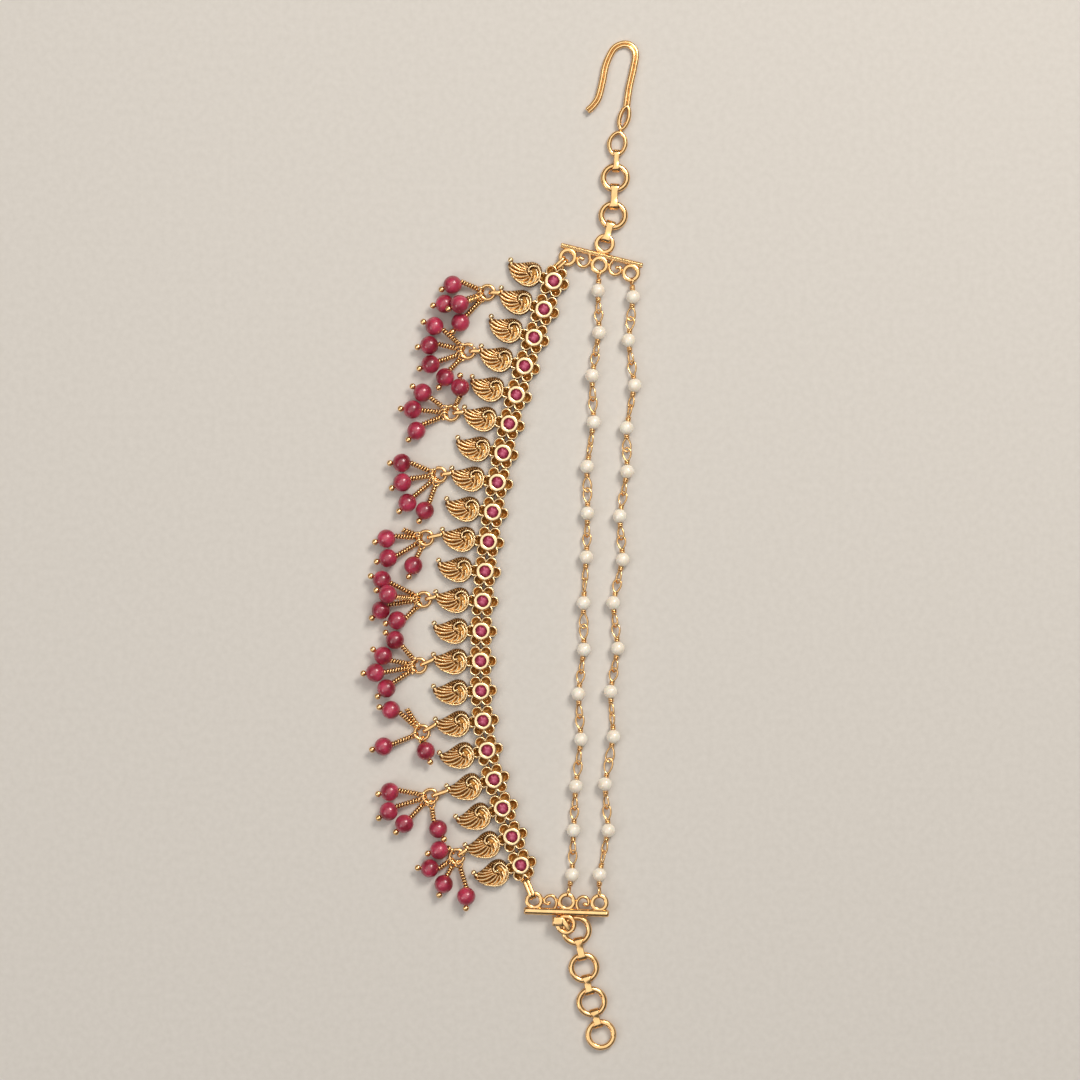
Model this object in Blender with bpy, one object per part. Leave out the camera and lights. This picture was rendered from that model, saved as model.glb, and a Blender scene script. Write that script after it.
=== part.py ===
"""Ear chain in gold, rubies and pearls, laid flat: a hook and ring chain, two spacer bars, a strip of
21 flower and paisley motifs with ten clusters of ruby beads, two strands of pearls, and an end chain.

Metres, +Z up, +Y towards the hook, +X towards the pearls. The floor is Z = 0.
"""

import math

import bmesh
import bpy
from mathutils import Matrix, Vector

# General clearances and depths
LINK_CLEARANCE = 0.00016
LINK_END_CLEARANCE = 0.00024
SOLDER_DEPTH = 0.00018
RING_SIDES = 12
SMALL_RING_SIDES = 10
WIRE_SIDES = 5
STEM_SIDES = 4
BEAD_SIDES = 10

# Flower of a motif
MOTIF_COUNT = 21
MOTIF_GAP = 0.00012
PETAL_COUNT = 6
PETAL_RING_RADIUS = 0.001875
PETAL_LOBE_OVERLAP = 0.0000425
PETAL_HEIGHT = 0.0015
PETAL_HOLLOW = 0.00045
PETAL_CORNER_ANGLE = 35.0
COLLET_INSET = 0.000375
COLLET_HEIGHT = 0.002
COLLET_DRAFT = 0.00006
COLLET_WALL = 0.00055
STONE_TABLE = 0.0011
STONE_CROWN = 0.00035
STONE_SIDES = 8

# Paisley of a motif: its outline as shares of length from the flower and of width across
PAISLEY_LENGTH = 0.00652
PAISLEY_SPACE = 0.00069
PAISLEY_OVERLAP = 0.00053
PAISLEY_HEIGHT = 0.0015
PAISLEY_BOSS_HEIGHT = 0.002
PAISLEY_BOSS_RADIUS = 0.001
PAISLEY_BOSS_PLACE = (0.32, 0.1)
PAISLEY_BOSS_SIDES = 6
PAISLEY_OUTLINE = [
    (0.0, -0.08),
    (0.03, 0.2),
    (0.1, 0.38),
    (0.24, 0.47),
    (0.44, 0.42),
    (0.72, 0.27),
    (1.0, 0.28),
    (0.97, 0.05),
    (0.83, -0.23),
    (0.61, -0.45),
    (0.365, -0.53),
    (0.135, -0.43),
]

# Eye at the tail of every second motif, and the staple on the first and the last motif
EYE_WIRE = 0.0004
EYE_BORE = 0.00072
EYE_REACH = 0.0017
EYE_SIDE = 0.00025
EYE_SEAT = 0.00005
EYE_BEND_STEPS = 3
STAPLE_WIRE = 0.00024
STAPLE_WIDTH = 0.0019
STAPLE_REACH = 0.0011

# Route of the strip, from its first flower, as shares of the strip's length
STRIP_ROUTE = [
    (0.0, 0.0),
    (-0.0603, -0.1834),
    (-0.1005, -0.3777),
    (-0.1206, -0.5795),
    (-0.1122, -0.7771),
    (-0.0544, -0.9761),
]

# Ruby bead clusters: jump ring, head pins and beads
JUMP_RING_DIAMETER = 0.00296
JUMP_RING_WIRE = 0.00046
BEAD_DIAMETER = 0.0033
BEAD_GAP = 0.00006
BEAD_LATITUDES = (45.0, 0.0)
PIN_WIRE = 0.00036
PIN_HEAD_DIAMETER = 0.001
PIN_HEAD_GAP = 0.00018
STEM_DIAMETER = 0.0006
STEM_END_DIAMETER = 0.00036

# Swing of each cluster's ring from its motif's axis, in degrees, and for each bead its place from the
# ring's centre along X and Y and the bearing of its pin's head, with a bead that lies on others last
CLUSTERS = [
    {"swing": 32, "beads": [(-6.2, 1.3, 203), (-7.6, -2.1, 188), (-4.8, -5.4, 230), (-4.9, -2.3, 203)]},
    {"swing": 32, "beads": [(-5.9, 4.4, 159), (-6.8, 1.0, 189), (-6.6, -2.4, 201), (-4.0, -4.7, 238)]},
    {"swing": 32, "beads": [(1.6, 4.5, 90), (-5.1, 3.6, 148), (-6.9, 0.6, 176), (-6.2, -3.2, 228)]},
    {"swing": 32, "beads": [(-6.6, 2.1, 181), (-6.5, -1.4, 208), (-5.6, -5.0, 226), (-2.5, -6.4, 241)]},
    {"swing": 30, "beads": [(-7.7, -0.4, 197), (-7.4, -3.9, 197), (-2.9, -5.2, 248)]},
    {"swing": 30, "beads": [(-7.4, 3.5, 161), (-7.6, -1.9, 221), (-4.7, -3.7, 195), (-6.3, 1.0, 161)]},
    {"swing": 26, "beads": [(-4.7, 4.0, 142), (-6.8, 1.2, 148), (-8.2, -1.8, 183), (-6.2, -4.6, 222)]},
    {"swing": 32, "beads": [(-6.0, 3.4, 166), (-7.3, -3.1, 195), (0.2, -3.9, 292)]},
    {"swing": 29, "beads": [(-8.5, 1.0, 191), (-8.7, -2.5, 214), (-5.9, -4.7, 225), (0.1, -5.6, 300)]},
    {"swing": 32, "beads": [(-3.1, 1.2, 196), (-4.8, -2.0, 178), (-2.3, -4.8, 248), (1.7, -7.0, 269)]},
]
CLUSTER_UNIT = 0.001

# Spacer bars: a rod with three rings for strands and one for the chain, and a scroll between rings
BAR_LENGTH = 0.015
BAR_RING_PITCH = 0.0058
BAR_RING_DIAMETER = 0.0031
BAR_RING_BORE = 0.00172
BAR_RING_THICKNESS = 0.0006
CHAIN_RING_DIAMETER = 0.00364
CHAIN_RING_BORE = 0.00204
SCROLL_WIRE = 0.00045
SCROLL_HEIGHT = 0.0024
TOP_BAR_DIAMETER = 0.00086
TOP_BAR_TURN = -14.0
BOTTOM_BAR_DIAMETER = 0.00106
BOTTOM_BAR_TURN = -2.0
BAR_SIDES = 8
SCROLL_ROUTE = [(0.1, -0.1), (0.0, 0.5), (0.35, 0.92), (0.88, 0.85), (0.85, 0.5)]

# Chains: round rings, flat band links and the end links of the strip
RING_DIAMETER = 0.0051
END_RING_DIAMETER = 0.0056
RING_WIRE = 0.0009
BAND_WIDTH = 0.00143
BAND_THICKNESS = 0.00028
HOOK_BAND_WIDTH = 0.001
END_LINK_WIDTH = 0.0007
END_LINK_THICKNESS = 0.00026
LINK_BEND_STEPS = 4
TOP_CHAIN = [
    {"bearing": 73.3, "gap": 0.0018},
    {"bearing": 86.8, "gap": 0.0025},
    {"bearing": 86.5, "gap": 0.0019},
]
END_CHAIN = [
    {"bearing": -78.3, "gap": 0.0021},
    {"bearing": -77.3, "gap": 0.00156},
    {"bearing": -74.5, "gap": 0.00138},
]
END_CHAIN_START_BEARING = -31.0
END_CHAIN_START_SHIFT = 0.0002
BRIDGE_WIDTH = 0.001
TOP_LINK_REACH = 0.005
TOP_LINK_BEARING = -120.6
BOTTOM_LINK_REACH = 0.0067
BOTTOM_LINK_BEARING = -69.4

# Hook with a double eye, its route as shares of its reach and rise from the end of its shank
HOOK_REACH = 0.0068
HOOK_RISE = 0.0111
HOOK_WIDTH = 0.0013
HOOK_THICKNESS = 0.00086
HOOK_GROOVE = 0.0002
HOOK_BEARING = 78.6
HOOK_SEAT = 0.0003
HOOK_EYE_LENGTH = 0.005
HOOK_EYE_WIDTH = 0.0024
HOOK_LOOP_LENGTH = 0.00495
HOOK_LOOP_WIDTH = 0.0037
HOOK_EYE_WIRE = 0.00075
HOOK_LOOP_BEARING = 75.3
HOOK_ROUTE = [
    (-1.0, -0.07),
    (-0.88, 0.0),
    (-0.74, 0.13),
    (-0.63, 0.39),
    (-0.56, 0.62),
    (-0.45, 0.8),
    (-0.3, 0.94),
    (-0.05, 1.0),
    (0.145, 0.95),
    (0.235, 0.82),
    (0.17, 0.57),
    (0.07, 0.295),
    (0.0, 0.0),
]

# Pearl strands: for each pearl its share of the way down and its shift across in millimetres
PEARL_DIAMETER = 0.0025
PEARL_LATITUDES = (45.0, 0.0)
STRAND_WIRE = 0.00032
STRAND_SHIFT = 0.001
STRAND_LOOP_LENGTH = 0.0003
PEARL_STRANDS = [
    [
        (0.04, 0.0),
        (0.106, 0.55),
        (0.174, -0.3),
        (0.247, 0.4),
        (0.317, -0.35),
        (0.39, 0.17),
        (0.459, 0.35),
        (0.531, 0.25),
        (0.604, 0.75),
        (0.674, 0.17),
        (0.745, 1.05),
        (0.819, 0.55),
        (0.888, 0.56),
        (0.958, 0.7),
    ],
    [
        (0.038, 0.6),
        (0.107, 0.16),
        (0.178, 1.65),
        (0.246, 0.6),
        (0.315, 1.1),
        (0.386, 0.17),
        (0.455, 1.1),
        (0.524, -0.22),
        (0.596, 1.03),
        (0.665, 0.1),
        (0.736, 1.04),
        (0.812, -0.04),
        (0.885, 0.96),
        (0.956, -0.22),
    ],
]

# Heights of what lies on the floor, worked out from the thickness of what passes underneath
RING_LEVEL = RING_WIRE / 2 + LINK_CLEARANCE + BAND_THICKNESS + LINK_END_CLEARANCE / 4
TOP_BAR_LEVEL = RING_LEVEL
BOTTOM_BAR_LEVEL = RING_LEVEL + RING_WIRE / 2 + LINK_CLEARANCE + BAR_RING_THICKNESS / 2
EYE_LEVEL = EYE_WIRE + EYE_BORE / 2
PEARL_LEVEL = PEARL_DIAMETER / 2
BEAD_LEVEL = BEAD_DIAMETER / 2

# Places worked out from the sizes
TOP_BAR_PLACE = (0.01743, 0.04979)
PETAL_LOBE_RADIUS = PETAL_RING_RADIUS * math.sin(math.pi / PETAL_COUNT) + PETAL_LOBE_OVERLAP
COLLET_DIAMETER = 2 * (PETAL_RING_RADIUS - COLLET_INSET)
STONE_DIAMETER = COLLET_DIAMETER - 2 * COLLET_WALL
MOTIF_PITCH = 2 * (PETAL_RING_RADIUS * math.cos(math.pi / PETAL_COUNT) + PETAL_LOBE_RADIUS) + MOTIF_GAP
PAISLEY_WIDTH = MOTIF_PITCH - PAISLEY_SPACE
PAISLEY_START = PETAL_RING_RADIUS + PETAL_LOBE_RADIUS - PAISLEY_OVERLAP
STRIP_LENGTH = MOTIF_PITCH * (MOTIF_COUNT - 1)

UP = Vector((0, 0, 1))
BUILD_SCALE = 1000.0


def bearing(degrees):
    """Unit vector in the plan at an angle from +X."""
    angle = math.radians(degrees)
    return Vector((math.cos(angle), math.sin(angle), 0))


def bearing_of(vector):
    return math.degrees(math.atan2(vector.y, vector.x))


def at_level(point, level):
    return Vector((point[0], point[1], level))


# Materials

def metal(name, colour, roughness):
    return principled(name, colour, roughness, 1.0)


def principled(name, colour, roughness, metallic):
    material = bpy.data.materials.new(name)
    material.use_nodes = True
    shader = material.node_tree.nodes["Principled BSDF"]
    shader.inputs["Base Color"].default_value = (*colour, 1.0)
    shader.inputs["Roughness"].default_value = roughness
    shader.inputs["Metallic"].default_value = metallic
    material.diffuse_color = (*colour, 1.0)
    return material


# Mesh makers

def loft(rings, ring_materials=None):
    """Closed mesh through rings of points, whose counts may differ; both ends are capped."""
    work = bmesh.new()
    levels = [[work.verts.new(point) for point in ring] for ring in rings]
    for index, (low, high) in enumerate(zip(levels, levels[1:])):
        slot = ring_materials[index] if ring_materials else 0
        for corners in band_between(low, high):
            work.faces.new(corners).material_index = slot
    for level, slot in ((levels[0], 0), (levels[-1], ring_materials[-1] if ring_materials else 0)):
        if len(level) > 2:
            work.faces.new(level).material_index = slot
    bmesh.ops.recalc_face_normals(work, faces=work.faces)
    mesh = bpy.data.meshes.new("loft")
    work.to_mesh(mesh)
    work.free()
    return mesh


def band_between(low, high):
    """Faces between two closed rings, stepping along whichever is behind."""
    if len(low) == len(high):
        count = len(low)
        return [(low[i], low[(i + 1) % count], high[(i + 1) % count], high[i]) for i in range(count)]
    faces = []
    i = j = 0
    while i < len(low) or j < len(high):
        next_low = (i + 1) / len(low) if len(low) > 1 else 2.0
        next_high = (j + 1) / len(high) if len(high) > 1 else 2.0
        here = low[i % len(low)]
        there = high[j % len(high)]
        if i < len(low) and len(low) > 1 and (j >= len(high) or len(high) == 1 or next_low <= next_high):
            faces.append((here, low[(i + 1) % len(low)], there))
            i += 1
        elif len(high) > 1 and j < len(high):
            faces.append((here, high[(j + 1) % len(high)], there))
            j += 1
        else:
            break
    return faces


def circle(radius, sides, level=0.0, start=0.0):
    turn = 2 * math.pi / sides
    return [
        Vector((radius * math.cos(start + turn * k), radius * math.sin(start + turn * k), level))
        for k in range(sides)
    ]


def curve_object(name, points, closed):
    curve = bpy.data.curves.new(name, "CURVE")
    curve.dimensions = "3D"
    curve.twist_mode = "Z_UP"
    spline = curve.splines.new("POLY")
    spline.points.add(len(points) - 1)
    for target, point in zip(spline.points, points):
        target.co = (*[value * BUILD_SCALE for value in point], 1.0)
    spline.use_cyclic_u = closed
    curve_holder = bpy.data.objects.new(name, curve)
    bpy.context.scene.collection.objects.link(curve_holder)
    return curve_holder


def swept(path, section, closed):
    """Mesh of a closed section, as points (across, up), carried along a path near the XY plane."""
    profile = curve_object("section", [(across, up, 0) for across, up in section], True)
    profile.data.dimensions = "2D"
    route = curve_object("route", path, closed)
    route.data.bevel_mode = "OBJECT"
    route.data.bevel_object = profile
    route.data.use_fill_caps = not closed
    mesh = bpy.data.meshes.new_from_object(route.evaluated_get(bpy.context.evaluated_depsgraph_get()))
    for helper in (route, profile):
        data = helper.data
        bpy.data.objects.remove(helper)
        bpy.data.curves.remove(data)
    work = bmesh.new()
    work.from_mesh(mesh)
    bmesh.ops.remove_doubles(work, verts=work.verts, dist=0.0001)
    bmesh.ops.recalc_face_normals(work, faces=work.faces)
    work.to_mesh(mesh)
    work.free()
    mesh.transform(Matrix.Scale(1 / BUILD_SCALE, 4))
    for face in mesh.polygons:
        face.material_index = 0
    return mesh


def round_section(diameter, sides=WIRE_SIDES):
    start = math.pi / 2
    step = 2 * math.pi / sides
    radius = diameter / 2
    return [(radius * math.cos(start + step * k), radius * math.sin(start + step * k)) for k in range(sides)]


def flat_section(width, height):
    side = width / 2
    top = height / 2
    return [(-side, -top), (side, -top), (side, top), (-side, top)]


def ring_mesh(diameter, section, sides, matrix, stretch=1.0):
    """Ring of a mean diameter, longer along its own Y by a stretch."""
    path = [Vector((p.x, p.y * stretch, 0)) for p in circle(diameter / 2, sides)]
    mesh = swept(path, section, True)
    mesh.transform(matrix)
    return mesh


def along(start, direction, up=UP):
    """Matrix that takes +X along a direction, +Z across it and level, and +Y upwards."""
    x = direction.normalized()
    z = x.cross(up).normalized()
    y = z.cross(x)
    turn = Matrix((x, y, z)).transposed().to_4x4()
    return Matrix.Translation(start) @ turn


def link_mesh(first, first_reach, last, last_reach, inner_radius, section, steps=LINK_BEND_STEPS):
    """Upright long link round two wires: each bend's inside lies a reach beyond a wire's middle."""
    axis = (last - first).normalized()
    wall = max(abs(across) for across, _ in section)
    low = first + axis * (inner_radius - first_reach)
    high = last - axis * (inner_radius - last_reach)
    length = (high - low).dot(axis)
    radius = inner_radius + wall
    path = []
    for centre, start in ((length, -90.0), (0.0, 90.0)):
        for step in range(steps + 1):
            angle = math.radians(start + 180.0 * step / steps)
            path.append(Vector((centre + radius * math.cos(angle), radius * math.sin(angle), 0)))
    mesh = swept(path, section, True)
    mesh.transform(along(low, axis))
    return mesh


def turned(stations):
    """Mesh of rings square to a bent axis: stations are (centre, tangent, radius, sides)."""
    rings = []
    for centre, tangent, radius, sides in stations:
        forward = tangent.normalized()
        side = UP.cross(forward).normalized()
        top = forward.cross(side)
        if radius == 0.0:
            rings.append([centre])
            continue
        rings.append([centre + radius * (p.x * side + p.y * top) for p in circle(1.0, sides)])
    return rings


def fuse(name, meshes, materials):
    """One closed mesh from overlapping closed meshes, welded at a larger scale for precision."""
    collection = bpy.data.collections.new("workshop")
    bpy.context.scene.collection.children.link(collection)
    holders = []
    for index, mesh in enumerate(meshes):
        mesh.transform(Matrix.Scale(BUILD_SCALE, 4))
        mesh.materials.clear()
        for material in materials:
            mesh.materials.append(material)
        holder = bpy.data.objects.new(f"{name}_{index}", mesh)
        holders.append(holder)
        (bpy.context.scene.collection if index == 0 else collection).objects.link(holder)
    if len(holders) > 1:
        union = holders[0].modifiers.new("union", "BOOLEAN")
        union.operation = "UNION"
        union.operand_type = "COLLECTION"
        union.collection = collection
        union.solver = "EXACT"
    graph = bpy.context.evaluated_depsgraph_get()
    result = bpy.data.meshes.new_from_object(holders[0].evaluated_get(graph))
    result.name = name
    for holder in holders:
        data = holder.data
        bpy.data.objects.remove(holder)
        bpy.data.meshes.remove(data)
    bpy.data.collections.remove(collection)
    result.transform(Matrix.Scale(1 / BUILD_SCALE, 4))
    return result


def smooth_route(points, steps):
    """Points of a smooth curve through the given points."""
    ends = [points[0] * 2 - points[1]] + list(points) + [points[-1] * 2 - points[-2]]
    route = []
    for a, b, c, d in zip(ends, ends[1:], ends[2:], ends[3:]):
        for step in range(steps):
            t = step / steps
            square = (2 * a - 5 * b + 4 * c - d) * t**2
            cube = (3 * b - a - 3 * c + d) * t**3
            route.append(0.5 * (2 * b + (c - a) * t + square + cube))
    route.append(points[-1])
    return route


def places_along(route, count):
    """Points and directions at even spacing along a route."""
    lengths = [0.0]
    for a, b in zip(route, route[1:]):
        lengths.append(lengths[-1] + (b - a).length)
    places = []
    index = 0
    for k in range(count):
        target = lengths[-1] * k / (count - 1)
        while index < len(route) - 2 and lengths[index + 1] < target:
            index += 1
        share = (target - lengths[index]) / (lengths[index + 1] - lengths[index])
        before = route[max(index - 1, 0)]
        after = route[min(index + 2, len(route) - 1)]
        places.append((route[index].lerp(route[index + 1], share), (after - before).normalized()))
    return places


# Layout: where each piece lies

def bar_frame(place, turn, level):
    return Matrix.Translation(at_level(place, level)) @ Matrix.Rotation(math.radians(turn), 4, "Z")


def bar_ring_place(frame, index):
    return frame @ Vector(((index - 1) * BAR_RING_PITCH, 0, 0))


def chain_ring_offset(diameter):
    return diameter + BAR_RING_DIAMETER / 2 + CHAIN_RING_DIAMETER / 2 - 2 * SOLDER_DEPTH


def strip_places():
    """Centre of each flower and the direction towards the next one."""
    first = bar_ring_place(TOP_BAR, 0) + bearing(TOP_LINK_BEARING) * TOP_LINK_REACH
    points = [Vector((x, y, 0)) for x, y in STRIP_ROUTE]
    route = smooth_route(points, 12)
    total = sum((b - a).length for a, b in zip(route, route[1:]))
    scale = STRIP_LENGTH / total
    return places_along([at_level(first, 0) + point * scale for point in route], MOTIF_COUNT)


def motif_matrix(place, direction):
    """Frame of a motif: +Y back along the strip, -X towards its paisley."""
    turn = math.atan2(-direction.y, -direction.x) - math.pi / 2
    return Matrix.Translation(place) @ Matrix.Rotation(turn, 4, "Z")


TOP_BAR = bar_frame(TOP_BAR_PLACE, TOP_BAR_TURN, TOP_BAR_LEVEL)
STRIP = strip_places()
BOTTOM_BAR_START = STRIP[-1][0] + bearing(BOTTOM_LINK_BEARING) * BOTTOM_LINK_REACH
BOTTOM_BAR = bar_frame(
    BOTTOM_BAR_START + bearing(BOTTOM_BAR_TURN) * BAR_RING_PITCH, BOTTOM_BAR_TURN, BOTTOM_BAR_LEVEL
)


# Flower and paisley motifs

def petal_outline(level):
    """Six lobes, each with two corners, and the notches between them."""
    half = math.pi / PETAL_COUNT
    overlap = PETAL_LOBE_RADIUS**2 - (PETAL_RING_RADIUS * math.sin(half)) ** 2
    notch = PETAL_RING_RADIUS * math.cos(half) + math.sqrt(max(overlap, 0.0))
    corner = math.radians(PETAL_CORNER_ANGLE)
    points = []
    for k in range(PETAL_COUNT):
        angle = 2 * half * k
        points.append(Vector((notch * math.cos(angle - half), notch * math.sin(angle - half), level)))
        for side in (-corner, corner):
            x = PETAL_RING_RADIUS * math.cos(angle) + PETAL_LOBE_RADIUS * math.cos(angle + side)
            y = PETAL_RING_RADIUS * math.sin(angle) + PETAL_LOBE_RADIUS * math.sin(angle + side)
            points.append(Vector((x, y, level)))
    return points


def notch_radius():
    return petal_outline(0.0)[0].length


def flower_mesh():
    start = -math.pi / PETAL_COUNT
    rings = [
        petal_outline(0.0),
        petal_outline(PETAL_HEIGHT),
        circle(COLLET_DIAMETER / 2, STONE_SIDES, PETAL_HEIGHT - PETAL_HOLLOW, start),
        circle(COLLET_DIAMETER / 2 - COLLET_DRAFT, STONE_SIDES, COLLET_HEIGHT, start),
        circle(STONE_DIAMETER / 2, STONE_SIDES, COLLET_HEIGHT - COLLET_DRAFT, start),
        circle(STONE_TABLE / 2, STONE_SIDES, COLLET_HEIGHT + STONE_CROWN, start),
    ]
    return loft(rings, [0, 0, 0, 0, 1, 1])


def paisley_point(along_share, across_share, level):
    return Vector((-PAISLEY_START - along_share * PAISLEY_LENGTH, across_share * PAISLEY_WIDTH, level))


def paisley_mesh():
    boss = paisley_point(*PAISLEY_BOSS_PLACE, PAISLEY_BOSS_HEIGHT)
    shoulder = (PAISLEY_HEIGHT + PAISLEY_BOSS_HEIGHT) / 2
    first = paisley_point(*PAISLEY_OUTLINE[0], 0)
    start = math.atan2(first.y - boss.y, first.x - boss.x)
    rings = [
        [paisley_point(u, v, 0.0) for u, v in PAISLEY_OUTLINE],
        [paisley_point(u, v, PAISLEY_HEIGHT) for u, v in PAISLEY_OUTLINE],
        [at_level(boss, 0) + p for p in circle(PAISLEY_BOSS_RADIUS, PAISLEY_BOSS_SIDES, shoulder, start)],
        [boss],
    ]
    return loft(rings)


def eye_slot_seat():
    """Where a jump ring's wire passes the eye's slot, in the motif's own frame."""
    tail = -PAISLEY_START - PAISLEY_LENGTH
    return Vector((tail - (EYE_REACH - EYE_WIRE) / 2 + EYE_SEAT, EYE_SIDE, EYE_LEVEL))


def eye_mesh():
    """Upright arch whose legs are soldered into the tail."""
    radius = (EYE_BORE + EYE_WIRE) / 2
    tail = -PAISLEY_START - PAISLEY_LENGTH
    bend = tail - EYE_REACH + EYE_WIRE / 2 + radius
    root = tail + EYE_WIRE
    path = [Vector((root, radius, 0))]
    for step in range(EYE_BEND_STEPS + 1):
        angle = math.radians(90 + 180.0 * step / EYE_BEND_STEPS)
        path.append(Vector((bend + radius * math.cos(angle), radius * math.sin(angle), 0)))
    path.append(Vector((root, -radius, 0)))
    mesh = swept(path, flat_section(EYE_WIRE, EYE_WIRE), False)
    mesh.transform(Matrix.Translation((0, EYE_SIDE, EYE_LEVEL)) @ Matrix.Rotation(math.pi / 2, 4, "X"))
    return mesh


def staple_place(side):
    """Middle of the staple's crossbar in the motif's own frame; side is 1 up the strip, -1 down it."""
    return Vector((0, side * (notch_radius() + STAPLE_REACH), RING_LEVEL))


def staple_mesh(side):
    half = (STAPLE_WIDTH - STAPLE_WIRE) / 2 + STAPLE_WIRE / 2
    root = side * notch_radius()
    tip = staple_place(side).y
    corners = ((-half, root), (-half, tip), (half, tip), (half, root))
    path = [Vector((x, y, 0)) for x, y in corners]
    mesh = swept(path, flat_section(STAPLE_WIRE, STAPLE_WIRE), False)
    mesh.transform(Matrix.Translation((0, 0, RING_LEVEL)))
    return mesh


def motif_mesh(name, with_eye, staple_side, materials):
    meshes = [flower_mesh(), paisley_mesh()]
    if with_eye:
        meshes.append(eye_mesh())
    if staple_side:
        meshes.append(staple_mesh(staple_side))
    return fuse(name, meshes, materials)


# Ruby bead clusters

def cluster_ring_place(index):
    """Centre of a cluster's jump ring, whose wire passes the middle of its motif's eye."""
    frame = motif_matrix(*STRIP[2 * index + 1])
    slot = frame @ eye_slot_seat()
    outward = frame.to_3x3() @ Vector((-1, 0, 0))
    swing = bearing_of(outward) + CLUSTERS[index]["swing"]
    return slot + bearing(swing) * (JUMP_RING_DIAMETER - JUMP_RING_WIRE) / 2


def settled_level(place, laid):
    """Lowest level at which a bead lies on the floor or on the beads laid before it."""
    level = BEAD_LEVEL
    reach = BEAD_DIAMETER + BEAD_GAP
    for other in laid:
        apart = math.hypot(place.x - other.x, place.y - other.y)
        if apart < reach:
            level = max(level, other.z + math.sqrt(reach**2 - apart**2))
    return level


def bead_places():
    """For each cluster, its ring's centre and each bead's centre and pin bearing."""
    laid = []
    clusters = []
    for index, cluster in enumerate(CLUSTERS):
        ring = cluster_ring_place(index)
        beads = []
        for x, y, head in cluster["beads"]:
            place = ring + Vector((x, y, 0)) * CLUSTER_UNIT
            place.z = settled_level(place, laid)
            laid.append(place)
            beads.append((place, bearing(head)))
        clusters.append((ring, beads))
    return clusters


def bead_stations(centre, axis, diameter, wire, latitudes, end, sides):
    """Rings of a bead from its far pole to its near pole; the axis points at the far pole."""
    radius = diameter / 2
    half = math.sqrt(radius**2 - (wire / 2) ** 2)
    stations = [(centre + axis * half, -axis, wire / 2, sides)]
    angles = list(latitudes) + [-angle for angle in reversed(latitudes) if angle]
    for angle in angles:
        offset = radius * math.sin(math.radians(angle))
        stations.append((centre + axis * offset, -axis, radius * math.cos(math.radians(angle)), BEAD_SIDES))
    stations.append((centre - axis * half, -axis, end / 2, sides))
    return stations


def drop_mesh(bead, head_axis, ring):
    """Bead on its head pin, with the stem that runs to the jump ring."""
    head = bead + head_axis * (BEAD_DIAMETER / 2 + PIN_HEAD_GAP + PIN_HEAD_DIAMETER / 2)
    tip = head + head_axis * PIN_HEAD_DIAMETER / 2
    start = bead - head_axis * BEAD_DIAMETER / 2
    outward = at_level(start - ring, 0).normalized()
    foot = ring + outward * (JUMP_RING_DIAMETER - JUMP_RING_WIRE) / 2
    stations = [
        (tip, -head_axis, 0.0, 1),
        (head, -head_axis, PIN_HEAD_DIAMETER / 2, STEM_SIDES),
    ]
    stations += bead_stations(
        bead, head_axis, BEAD_DIAMETER, PIN_WIRE, BEAD_LATITUDES, STEM_DIAMETER, STEM_SIDES
    )
    stations.append((foot, foot - start, STEM_END_DIAMETER / 2, STEM_SIDES))
    bead_faces = range(2, 2 + 2 * len(BEAD_LATITUDES) + 1)
    slots = [1 if index in bead_faces else 0 for index in range(len(stations))]
    return loft(turned(stations), slots)


def cluster_mesh(name, ring, beads, materials):
    frame = Matrix.Translation(ring)
    mean = JUMP_RING_DIAMETER - JUMP_RING_WIRE
    meshes = [ring_mesh(mean, round_section(JUMP_RING_WIRE), SMALL_RING_SIDES, frame)]
    meshes += [drop_mesh(bead, head_axis, ring) for bead, head_axis in beads]
    return fuse(name, meshes, materials)


# Spacer bars

def scroll_mesh(direction, side, frame_offset):
    """Small scroll beside the middle ring, on the side of the rod that carries the rings."""
    inner = BAR_RING_DIAMETER / 2 - SOLDER_DEPTH
    outer = BAR_RING_PITCH - inner
    width = outer - inner - SCROLL_WIRE
    path = []
    for u, v in SCROLL_ROUTE:
        x = direction * (inner + SCROLL_WIRE / 2 + u * width)
        path.append(Vector((x, side * (frame_offset - v * SCROLL_HEIGHT), 0)))
    return swept(path, flat_section(SCROLL_WIRE, BAR_RING_THICKNESS), False)


def washer_mesh(diameter, bore, place):
    section = flat_section((diameter - bore) / 2, BAR_RING_THICKNESS)
    return ring_mesh((diameter + bore) / 2, section, SMALL_RING_SIDES, Matrix.Translation(place))


def bar_mesh(name, diameter, side, materials):
    """Rod on one side of a row of three rings, with the chain's ring on the rod's other side."""
    offset = diameter / 2 + BAR_RING_DIAMETER / 2 - SOLDER_DEPTH
    bpy.ops.mesh.primitive_cylinder_add(vertices=BAR_SIDES, radius=diameter / 2, depth=BAR_LENGTH)
    rod_object = bpy.context.object
    rod = rod_object.data.copy()
    bpy.data.objects.remove(rod_object)
    rod.transform(Matrix.Translation((0, side * offset, 0)) @ Matrix.Rotation(math.pi / 2, 4, "Y"))
    meshes = [rod]
    for index in (-1, 0, 1):
        meshes.append(washer_mesh(BAR_RING_DIAMETER, BAR_RING_BORE, (index * BAR_RING_PITCH, 0, 0)))
    chain_place = (0, side * chain_ring_offset(diameter), 0)
    meshes.append(washer_mesh(CHAIN_RING_DIAMETER, CHAIN_RING_BORE, chain_place))
    for direction in (-1, 1):
        meshes.append(scroll_mesh(direction, side, offset - diameter / 2))
    return fuse(name, meshes, materials)


# Pearl strands

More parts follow.
